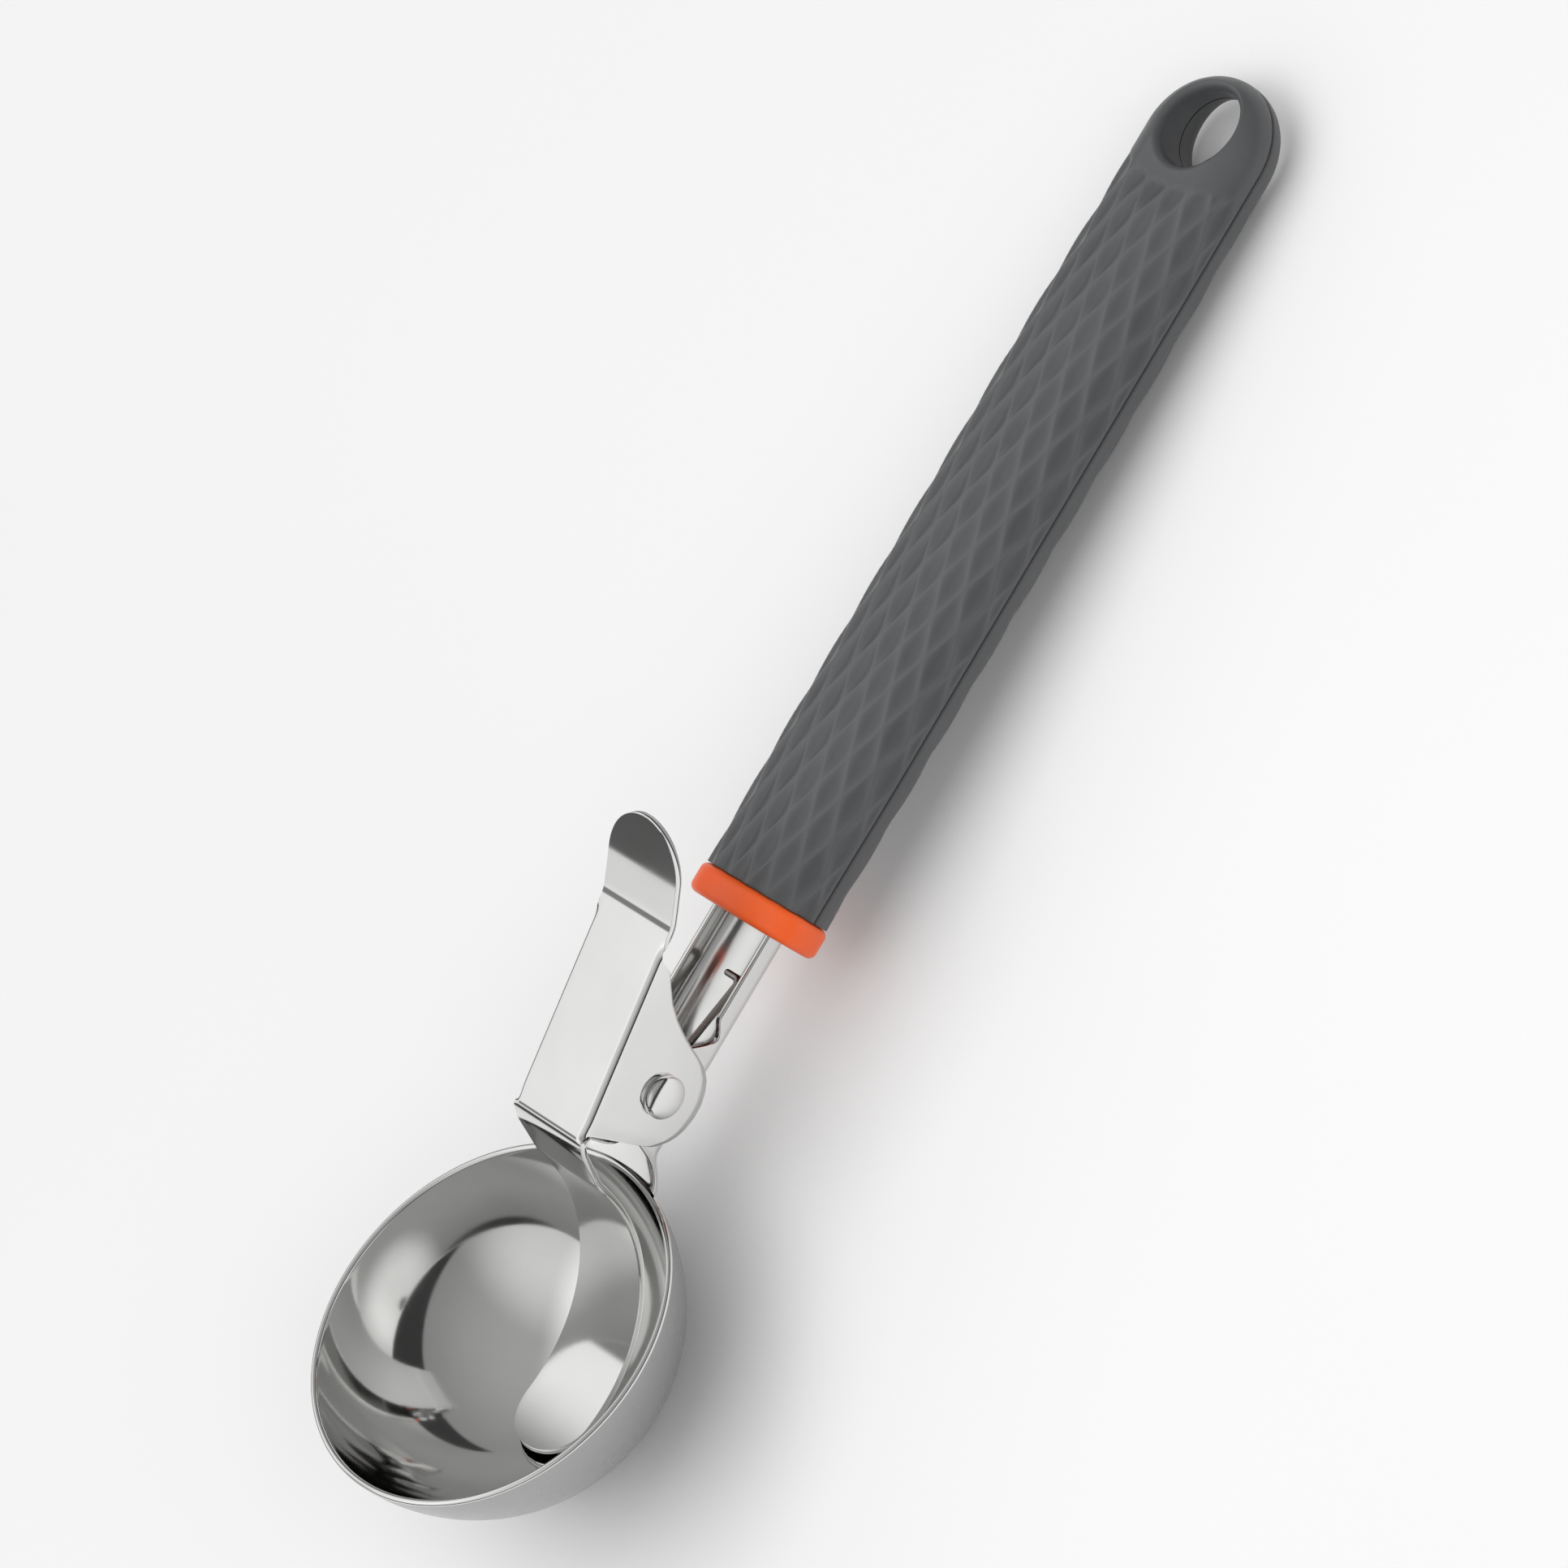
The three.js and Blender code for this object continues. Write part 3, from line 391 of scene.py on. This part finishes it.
FLANGE_EDGE = [
    (-7.75, 0),
    (-7.4, 12.2),
    (-6.9, 13.6),
    (-6, 15.2),
    (-5, 16.3),
    (-4, 17.05),
    (-2, 17.9),
    (0, 18.2),
    (2, 17.9),
    (3.5, 17.3),
    (5, 16),
    (6, 14.6),
    (7.3, 12.4),
    (8.5, 10.5),
    (10.3, 8.1),
    (12.5, 5.8),
    (15.2, 3.9),
    (18.5, 1.6),
    (21.4, 0),
]


def lever_line(s):
    """Points and headings of the lever's upper face along its middle, at lengths s from the tab's tip. The
    heading is a chain of straight and evenly turning stretches, smoothed over a short length, and the
    points are its running sum."""
    fine = np.linspace(-1, 105, 10601)
    knots = [
        (-1, 220),
        (6.2, 216),
        (8.2, 212),
        (12.6, 211.5),
        (14.2, 190.9),
        (44.3, 190.9),
        (45.0, 226),
        (47.0, 238),
        (48.0, 246.6),
        (53.4, 246.6),
        (54.4, 260),
        (56.5, 258),
        (103.0, 151.5),
        (105, 147),
    ]
    at, degrees = np.array(knots).T
    heading = np.interp(fine, at, degrees)
    window = np.hanning(141)
    heading = np.convolve(np.pad(heading, 70, mode="edge"), window / window.sum(), mode="valid")
    rad = np.radians(heading)
    step = fine[1] - fine[0]
    x = np.cumsum(np.cos(rad)) * step
    z = np.cumsum(np.sin(rad)) * step
    on_plate = 30.0
    anchor = np.searchsorted(fine, on_plate)
    along = PLATE_REAR - (on_plate - TAB_LENGTH)
    x += along * np.cos(PLATE_SLOPE) - PLATE_LIFT * np.sin(PLATE_SLOPE) - x[anchor]
    z += along * np.sin(PLATE_SLOPE) + PLATE_LIFT * np.cos(PLATE_SLOPE) - z[anchor]
    return np.interp(s, fine, x), np.interp(s, fine, z), np.interp(s, fine, rad)


def lever():
    """The stamping as one sheet. Across the middle line it is flat, then turns down along an arc and runs
    straight on as a flange. The arc's turn and the flange's depth change along the line: both are nought on
    the tab and the tongue, whose half widths end in half circles. A second face lies one sheet's thickness
    below, and a half round joins the two all along the edge."""
    tab_round, tongue_half, tongue_end = 7.5, 6.6, 101.4
    ends = 1 - np.cos(np.linspace(0, np.pi / 2, 40))
    s = np.concatenate(
        [
            0.02 + tab_round * ends,
            np.linspace(7.6, 15, 26),
            np.linspace(15.2, 40.5, 110),
            np.linspace(40.7, 42.9, 20),
            np.linspace(42.95, 44.4, 60),
            np.linspace(44.5, 48.6, 50),
            np.linspace(48.8, tongue_end - tongue_half, 120)[:-1],
            tongue_end - 0.02 - tongue_half * ends[::-1],
        ]
    )[:, None]
    x, z, heading = lever_line(s)
    u = PLATE_REAR - (s - TAB_LENGTH)
    at, below = np.array(FLANGE_EDGE).T
    fine = np.arange(-12, 26, 0.02)
    window = np.hanning(31) / np.hanning(31).sum()
    depth = np.convolve(np.interp(fine, at, below), window, mode="same")
    depth = np.interp(u, fine, depth)
    fold = eased(u, [(-9.3, 0), (-7.5, 1), (16.4, 1), (21.2, 0)]) * np.pi / 2
    inset = 1.1
    curl = inset / np.sinc(fold / np.pi)
    from_tip = np.sqrt(np.clip(1 - (1 - np.clip(s / tab_round, 0, 1)) ** 2, 0, 1))
    from_end = np.sqrt(np.clip(1 - (1 - np.clip((tongue_end - s) / tongue_half, 0, 1)) ** 2, 0, 1))
    narrow = eased(u, [(-19, tongue_half), (-8.4, 7.3)])
    wide = eased(u, [(-8.4, 7.3), (-5.5, FLANGE_Y), (16.5, FLANGE_Y), (21, 7.3)])
    half = np.where(u > -8.4, wide * from_tip, narrow * from_end)
    flat = half * (1 - inset / FLANGE_Y)
    arc = curl * half / FLANGE_Y
    straight = np.maximum(depth - inset, 0) * eased(u, [(16.5, 1), (18.2, 0)]) + 0.02

    q = np.concatenate([np.linspace(0, 1, 18), np.linspace(1, 2, 13)[1:], np.linspace(2, 3, 16)[1:]])[None, :]
    bend = np.clip(q - 1, 0, 1)
    angle = fold * bend
    radius = arc / np.maximum(fold, 1e-6)
    round_y = np.where(fold > 1e-3, radius * np.sin(angle), arc * bend)
    round_d = np.where(fold > 1e-3, radius * (1 - np.cos(angle)), 0)
    run = straight * np.clip(q - 2, 0, 1)
    y = flat * np.clip(q, 0, 1) + round_y + run * np.cos(fold)
    d = round_d + run * np.sin(fold)
    y = np.concatenate([-y[:, :0:-1], y], 1)
    d = np.concatenate([d[:, :0:-1], d], 1)
    top = np.stack([x - d * np.sin(heading), y, z + d * np.cos(heading)], -1)

    by_s = np.gradient(top, axis=0)
    by_q = np.gradient(top, axis=1)
    normal = np.cross(by_s, by_q)
    normal /= np.linalg.norm(normal, axis=-1, keepdims=True)
    under = top + SHEET * normal
    rows, columns = top.shape[:2]

    def rim_of(grid):
        return np.concatenate([grid[0, :-1], grid[:-1, -1], grid[-1, :0:-1], grid[:0:-1, 0]])

    rim_top, rim_under = rim_of(top), rim_of(under)
    out = np.cross(np.roll(rim_top, -1, 0) - np.roll(rim_top, 1, 0), rim_under - rim_top)
    out /= np.linalg.norm(out, axis=-1, keepdims=True)
    over = np.linspace(0, np.pi, 8)[:, None, None]
    band = rim_top + (rim_under - rim_top) * (1 - np.cos(over)) / 2 + 0.22 * np.sin(over) * out
    top_faces = grid_faces(rows, columns)
    points, quads = joined(
        [
            (top, top_faces[:, ::-1]),
            (under, top_faces),
            (band, grid_faces(8, len(rim_top), close_columns=True)),
        ]
    )
    piece("lever_form", points, quads, "lever", ["thumb_lever"], LEVER_STEEL)


# Rivet


def rivet():
    """Profiles turned about the rivet's axis: a low dome with a short rim on each side, and the shaft
    between the shank's cheeks."""
    bow = np.linspace(0, np.pi / 2, 24)
    rim_bow = bow[::6]
    head, rim, dome, shaft_radius = 3.1, 0.2, 1.15, 1.9
    gap, dome_from = 0.12, 0.75
    head_r = [[0.02, head - rim], head - rim * (1 - np.sin(rim_bow)), head * np.cos(bow[1:]) + 0.004]
    head_h = [[gap, gap], gap + rim * (1 - np.cos(rim_bow)), dome_from + dome * np.sin(bow[1:])]
    head_r, head_h = np.concatenate(head_r), np.concatenate(head_h)
    around = np.linspace(0, 2 * np.pi, 96, endpoint=False)[:, None]
    parts = []
    for side in (1, -1):
        points = np.stack(
            [head_r * np.cos(around), side * (FLANGE_Y + head_h) + 0 * around, head_r * np.sin(around)], -1
        )
        quads = grid_faces(96, len(head_r), close_rows=True)
        parts.append((points, quads if side < 0 else quads[:, ::-1]))
    shaft = np.array([-5.15, 5.15])
    shaft_x, shaft_z = shaft_radius * np.cos(around), shaft_radius * np.sin(around)
    points = np.stack([shaft_x + 0 * shaft, shaft + 0 * around, shaft_z + 0 * shaft], -1)
    parts.append((points, grid_faces(96, 2, close_rows=True)[:, ::-1]))
    points, quads = joined(parts)
    piece("rivet_form", points, quads, "frame", ["pivot_rivet"], RIVET_STEEL)


# Torsion spring


def spring():
    """A round wire along a path: from the hook across the shank's floor, along the floor to the coil, round
    the rivet in even turns, and out to the underside of the lever's plate. The section's axes are the
    direction away from the rivet's line, squared to the tangent, and its cross product with the tangent. The
    wire is built in one pose and rides no body."""
    wire, coil, pitch, coil_from_y, leg_y, hook = 0.5, 2.75, 1.5, 0.85, -2.6, 3.3
    bore = SHANK_HALF - SHANK_WALL
    seat, leg_x, plate_reach = 0.3, 18.4, 15.5
    bank = bore[1] * (1 - np.sqrt(1 - (leg_y / bore[0]) ** 2))
    low = np.array([leg_x, AXIS_Z - bore[1] + wire + seat + bank])
    lift = PLATE_LIFT - SHEET - seat - wire
    high = np.array(
        [
            plate_reach * np.cos(PLATE_SLOPE) - lift * np.sin(PLATE_SLOPE),
            plate_reach * np.sin(PLATE_SLOPE) + lift * np.cos(PLATE_SLOPE),
        ]
    )
    low_angle = np.arctan2(low[1], low[0]) + np.arcsin(coil / np.hypot(*low))
    high_angle = np.arctan2(high[1], high[0]) - np.arcsin(coil / np.hypot(*high))
    start = low_angle - np.pi / 2
    sweep = np.mod(start - (high_angle + np.pi / 2), 2 * np.pi) + 4 * np.pi
    to_y = coil_from_y + pitch * sweep / (2 * np.pi)
    first = coil * np.array([np.cos(start), np.sin(start)])
    last = coil * np.array([np.cos(start - sweep), np.sin(start - sweep)])

    def leg(a, b, share):
        return a + (b - a) * share[:, None]

    hook_share = np.linspace(1, 0.2, 8)
    hook_line = np.stack([low[0] + 0 * hook_share, leg_y + hook * hook_share, low[1] + 0 * hook_share], -1)
    share = np.linspace(0.04, 0.97, 30)
    floor = leg(low, first, share)
    across = leg_y + (coil_from_y - leg_y) * eased(share, [(0.55, 0), (0.99, 1)])
    floor_line = np.stack([floor[:, 0], across, floor[:, 1]], -1)
    wind = np.linspace(0, 1, 120)
    angle = start - sweep * wind
    coil_y = coil_from_y + (to_y - coil_from_y) * wind
    coil_line = np.stack([coil * np.cos(angle), coil_y, coil * np.sin(angle)], -1)
    share = np.linspace(0.05, 1, 12)
    rise = leg(last, high, share)
    rise_line = np.stack([rise[:, 0], to_y + 0 * share, rise[:, 1]], -1)
    path = np.concatenate([hook_line, floor_line, coil_line, rise_line])
    length = np.concatenate([[0], np.cumsum(np.linalg.norm(np.diff(path, axis=0), axis=1))])
    even = np.linspace(0, length[-1], 700)
    path = np.stack([np.interp(even, length, path[:, k]) for k in range(3)], -1)
    window = np.hanning(9) / np.hanning(9).sum()
    padded = np.pad(path, ((4, 4), (0, 0)), mode="edge")
    path = np.stack([np.convolve(padded[:, k], window, mode="valid") for k in range(3)], -1)
    ahead = np.gradient(path, axis=0)
    ahead /= np.linalg.norm(ahead, axis=1, keepdims=True)
    outward = path * [1, 0, 1]
    side = outward - ahead * np.sum(outward * ahead, 1, keepdims=True)
    side /= np.linalg.norm(side, axis=1, keepdims=True)
    other = np.cross(ahead, side)
    around = np.linspace(0, 2 * np.pi, 16, endpoint=False)[None, :, None]
    end = np.minimum(np.minimum(even, even[::-1]) / wire, 1)
    thick = wire * np.sqrt(np.clip(1 - (1 - end) ** 2, 0.0004, 1))[:, None, None]
    tube = path[:, None] + thick * (np.cos(around) * side[:, None] + np.sin(around) * other[:, None])
    quads = grid_faces(700, 16, close_columns=True)
    obj = piece("spring_form", tube, quads, None, ["torsion_spring"], WIRE_STEEL)
    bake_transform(obj)


# Collar and grip


def oval(angle, half_width, half_height, power=GRIP_POWER):
    """A superellipse: the cosine and sine of the angle, each raised to two over the power and keeping its
    sign."""
    c, s = np.cos(angle), np.sin(angle)
    y = half_width * np.sign(c) * np.abs(c) ** (2 / power)
    z = half_height * np.sign(s) * np.abs(s) ** (2 / power)
    return y, z


def collar():
    """A ring: a closed profile of a round-cornered outside and a straight bore, carried round the shank.
    The outside is a superellipse and the bore a squarer one."""
    proud, corner = 0.45, 1.1
    bow = np.linspace(0, np.pi / 2, 12)
    x = np.concatenate(
        [
            [COLLAR_FROM],
            COLLAR_FROM + corner * (1 - np.cos(bow)),
            COLLAR_TO - corner * (1 - np.cos(bow[::-1])),
            [COLLAR_TO, COLLAR_TO, COLLAR_FROM],
        ]
    )
    rounding = corner * (1 - np.sin(bow))
    inset = np.concatenate([[3.0], rounding, rounding[::-1], [3.0, 0, 0]])
    outside = np.concatenate([np.ones(len(x) - 2), [0, 0]])
    around = np.linspace(0, 2 * np.pi, 240, endpoint=False)[:, None]
    y, z = oval(around, GRIP_FRONT_HALF + proud - inset, GRIP_HALF[1] + proud / 2 - inset)
    bore_y, bore_z = oval(around, 6.5, 3.7, 4)
    y = np.where(outside > 0, y, bore_y)
    z = np.where(outside > 0, z, bore_z) + AXIS_Z
    points = np.stack([x + 0 * y, y, z], -1)
    quads = grid_faces(240, len(x), close_rows=True, close_columns=True)
    piece("collar_form", points, quads, "frame", ["collar"], ORANGE)


def grip_sizes(x):
    """Half width and half height of the grip at x: it widens a little behind the collar and thins to the
    tail."""
    tail = GRIP_TO - TAIL_RADIUS
    half_width = eased(x, [(GRIP_FROM, GRIP_FRONT_HALF), (GRIP_FROM + 24, GRIP_HALF[0])])
    half_height = eased(x, [(tail - 34, GRIP_HALF[1]), (tail, TAIL_HALF_HEIGHT)])
    return half_width, half_height


def grip_girth():
    """A quarter of the grip's section from the parting line to the top: shares of its half width and half
    height, and the length along the surface."""
    y, z = oval(np.linspace(0, np.pi / 2, 2001), *GRIP_HALF)
    girth = np.concatenate([[0], np.cumsum(np.hypot(np.diff(y), np.diff(z)))])
    return y / GRIP_HALF[0], z / GRIP_HALF[1], girth


def grip_surface(plan, plain):
    """Points over a plan of the grip. The height follows the superellipse of the distance from the middle
    line, or beyond the tail's centre from that centre. A flat land lies round the eye. Lozenge dimples are
    pressed in square to the smooth surface: a dimple is the product of two humps, one across each of two
    slanting families of ridges. A plain band is left along the parting line, where the edge is drawn in to
    leave a groove."""
    x, y = plan[..., 0], plan[..., 1]
    half_width, half_height = grip_sizes(x)
    past = np.maximum(x - (GRIP_TO - TAIL_RADIUS), 0)
    away = np.hypot(past, y)
    share = np.clip(away / half_width, 0, 1)
    rise = (1 - share**GRIP_POWER) ** (1 / GRIP_POWER)
    land = eased(np.hypot(x - EYE_X, y), [(LAND_RADIUS - 0.4, 1), (LAND_RADIUS + 6, 0)])
    z = half_height * rise - land * np.maximum(half_height * rise - LAND_HEIGHT, 0)

    out = share ** (GRIP_POWER - 1) / half_width
    lift = rise ** (GRIP_POWER - 1) / half_height
    size = np.hypot(out, lift)
    out, lift = out / size, lift / size
    ahead, side = past / np.maximum(away, 1e-6), y / np.maximum(away, 1e-6)

    _, arc_rise, girth = grip_girth()
    over = girth[-1] - np.interp(rise, arc_rise, girth)
    a = (x - GRIP_FROM) / DIMPLE_LONG + over / DIMPLE_WIDE + 0.5
    b = (x - GRIP_FROM) / DIMPLE_LONG - over / DIMPLE_WIDE + 0.5
    humps = (1 - np.abs(2 * np.mod(a, 1) - 1) ** 2.2) * (1 - np.abs(2 * np.mod(b, 1) - 1) ** 2.2)
    field = np.clip((np.hypot((x - EYE_X) / 8.6, y / 15) - 1) * 10, 0, 1) * (x < EYE_X)
    field = field * eased(girth[-1] - over, [(plain, 0), (plain + 0.9, 1)])
    press = DIMPLE_DEPTH * humps * field
    groove = 0.3 * np.clip(1 - z / 0.5, 0, 1) ** 2
    draw = press * out + groove
    # The fourth value is one in the dimples and nought on the ridges, where the grey plastic paints a
    # highlight; plain zones take a half.
    painted_light_and_gloss = humps * field + 0.5 * (1 - field)
    return np.stack([x - ahead * draw, y - side * draw, np.maximum(z - press * lift, 0.08), painted_light_and_gloss], -1)


def grip(mirror, name, node, soft, deep, plain):
    """One shell as two like halves. Each half runs from the collar along the outline to the tail's end;
    across, it runs from the outline inwards to the middle line, and round the eye to a circle outside the
    eye's edge. From that circle a quarter round leads into the eye's wall. A narrow flat seals the shell at
    the parting plane."""
    tail = GRIP_TO - TAIL_RADIUS
    rim = EYE_RADIUS + soft
    body_x = np.concatenate([np.linspace(GRIP_FROM - 0.25, 137, 300), np.linspace(137.15, EYE_X - rim, 28)])
    turns = np.linspace(0, 1, 90)[1:]
    length = (tail - EYE_X + rim) + TAIL_RADIUS * np.pi / 2
    run = turns * length
    bend = np.maximum(run - (tail - EYE_X + rim), 0) / TAIL_RADIUS
    side_x = EYE_X - rim + np.minimum(run, tail - EYE_X + rim)
    outline = np.concatenate(
        [
            np.stack([body_x, grip_sizes(body_x)[0]], -1),
            np.stack([side_x + TAIL_RADIUS * np.sin(bend), TAIL_RADIUS * np.cos(bend)], -1),
        ]
    )
    inner = np.concatenate(
        [
            np.stack([body_x, 0 * body_x], -1),
            np.stack([EYE_X - rim * np.cos(np.pi * turns), rim * np.sin(np.pi * turns)], -1),
        ]
    )
    outline[-1, 1] = inner[-1, 1] = 0
    arc_share, _, girth = grip_girth()
    share = np.interp(np.linspace(0, girth[-1], 80), girth, arc_share)[None, :, None]
    share[:, -1] = 0
    surface = grip_surface(inner[:, None] + (outline - inner)[:, None] * share, plain)
    flat = inner + (outline - inner) * 0.85
    seal = np.concatenate([flat, np.full((len(flat), 1), 0.08), np.full((len(flat), 1), 0.5)], -1)[:, None]
    front = surface[:1] * [1, 0.6, 0.6, 1]
    front_seal = seal[:1] * [1, 0.6, 1, 1]
    shell = np.concatenate([np.concatenate([front_seal, front], 1), np.concatenate([seal, surface], 1)])

    first = len(body_x) - 1
    edge = surface[first:, -1]
    way = np.stack([(inner[first:, 0] - EYE_X), inner[first:, 1]], -1) / rim
    quarter = np.linspace(0, np.pi / 2, 14)
    radius = np.concatenate([rim - soft * np.sin(quarter), [EYE_RADIUS]])
    drop = np.concatenate([deep * (1 - np.cos(quarter)), [0]])
    wall_z = edge[:, 2:3] - drop * np.minimum(edge[:, 2:3] / (deep + 0.3), 1)
    wall_z[:, -1] = 0.08
    wall = np.stack([EYE_X + way[:, :1] * radius, way[:, 1:] * radius, wall_z, 0 * wall_z + 0.5], -1)

    shell_faces = grid_faces(*shell.shape[:2])
    wall_faces = grid_faces(*wall.shape[:2])
    other = [1, -1, 1, 1]
    points, quads = joined(
        [
            (shell, shell_faces),
            (wall, wall_faces),
            (shell * other, shell_faces[:, ::-1]),
            (wall * other, wall_faces[:, ::-1]),
        ]
    )
    points = points * [1, 1, mirror, 1] + [0, 0, AXIS_Z, 0]
    if mirror < 0:
        quads = quads[:, ::-1]
    piece(name, points, quads, "frame", [node], GREY)


bowl()
shank()
lever()
rivet()
spring()
collar()
grip(1, "grip_upper_form", "grip_upper_shell", 1.1, 1.6, 0.7)
grip(-1, "grip_lower_form", "grip_lower_shell", 2.0, 4.9, 2.6)


# Floor, light and camera


def floor():
    """A pale sheet under the scoop."""
    mesh = bpy.data.meshes.new("floor")
    far = 30.0
    mesh.from_pydata([(-far, -far, 0), (far, -far, 0), (far, far, 0), (-far, far, 0)], [], [(0, 1, 2, 3)])
    material, tree, shader, at = node_tree("floor")
    shades = two_tone(tree, noise(tree, at, 3, 2), (0.86, 0.86, 0.86), (0.89, 0.89, 0.89))
    tree.links.new(shades, shader.inputs["Base Color"])
    shader.inputs["Roughness"].default_value = 0.9
    mesh.materials.append(material)
    obj = bpy.data.objects.new("floor", mesh)
    bpy.context.scene.collection.objects.link(obj)


FIELDS = [
    ((-0.35, 0.68, 0.66), 0.60, 0.97, 0.62),
    ((-0.75, -0.2, 0.6), 0.60, 1.0, 0.35),
]


SHADES = [((-0.47, 0.698, 0.54), 0.9893, 0.9962, 0.25)]


def studio():
    """Light from all round: grey above a dark horizon, with soft-edged bright fields and a dark patch.
    Their strength follows the cosine between a direction and their own direction, eased between two
    cosines."""
    world = bpy.data.worlds.new("studio")
    world.use_nodes = True
    tree = world.node_tree
    direction = tree.nodes.new("ShaderNodeTexCoord").outputs["Generated"]
    split = tree.nodes.new("ShaderNodeSeparateXYZ")
    tree.links.new(direction, split.inputs["Vector"])

    def eased_value(value, low, high, to_low, to_high):
        step = tree.nodes.new("ShaderNodeMapRange")
        step.interpolation_type = "SMOOTHSTEP"
        step.inputs["From Min"].default_value = low
        step.inputs["From Max"].default_value = high
        step.inputs["To Min"].default_value = to_low
        step.inputs["To Max"].default_value = to_high
        tree.links.new(value, step.inputs["Value"])
        return step.outputs["Result"]

    def combined(first, second, operation):
        node = tree.nodes.new("ShaderNodeMath")
        node.operation = operation
        tree.links.new(first, node.inputs[0])
        tree.links.new(second, node.inputs[1])
        return node.outputs["Value"]

    def nearness(toward):
        dot = tree.nodes.new("ShaderNodeVectorMath")
        dot.operation = "DOT_PRODUCT"
        dot.inputs[1].default_value = turn(np.array(toward) / np.linalg.norm(toward))
        tree.links.new(direction, dot.inputs[0])
        return dot.outputs["Value"]

    total = eased_value(split.outputs["Z"], 0.25, 1.0, 0.28, 0.42)
    for toward, wide, narrow, strength in FIELDS:
        total = combined(total, eased_value(nearness(toward), wide, narrow, 0, strength), "ADD")
    for toward, wide, narrow, share in SHADES:
        total = combined(total, eased_value(nearness(toward), wide, narrow, 1, share), "MULTIPLY")
    total = combined(total, eased_value(split.outputs["Z"], 0.30, 0.33, 0.16, 1), "MULTIPLY")
    tree.links.new(total, tree.nodes["Background"].inputs["Color"])
    tree.nodes["Background"].inputs["Strength"].default_value = 1.0
    bpy.context.scene.world = world


def area_light(name, at, to, size, power):
    """A broad panel that lights the floor and the plastics and isn't mirrored in the steel."""
    data = bpy.data.lights.new(name, "AREA")
    data.shape = "RECTANGLE"
    data.size, data.size_y = size
    data.energy = power
    obj = bpy.data.objects.new(name, data)
    obj.location = at
    obj.rotation_euler = (Vector(to) - Vector(at)).to_track_quat("-Z", "Y").to_euler()
    obj.visible_glossy = False
    bpy.context.scene.collection.objects.link(obj)


def camera():
    """A long lens over the scoop's right side, rolled so that the grip rises to the upper right."""
    right = turn([0.5105, -0.6157, -0.6005])
    up = turn([0.8599, 0.3655, 0.3566])
    back = np.cross(right, up)
    right, up, back = (v / np.linalg.norm(v) for v in (right, np.cross(back, right), back))
    away, width = 1.3, 0.2095
    at = place([43.6, 0, 3.8]) + back * away + right * 0.00087
    data = bpy.data.cameras.new("camera")
    data.sensor_width = 36
    data.lens = 36 * away / width
    data.clip_end = 20
    obj = bpy.data.objects.new("camera", data)
    obj.matrix_world = Matrix(
        [[right[i], up[i], back[i], at[i]] for i in range(3)] + [[0, 0, 0, 1]]
    )
    bpy.context.scene.collection.objects.link(obj)
    bpy.context.scene.camera = obj


floor()
studio()
area_light("over", (0.0, 0.1, 1.3), (0, 0, 0), (1.6, 1.6), 9.8)
area_light("side", (0.2, -1.1, 0.75), (0, 0, 0), (1.0, 0.7), 4.4)
bpy.context.scene.view_settings.view_transform = "Standard"
camera()
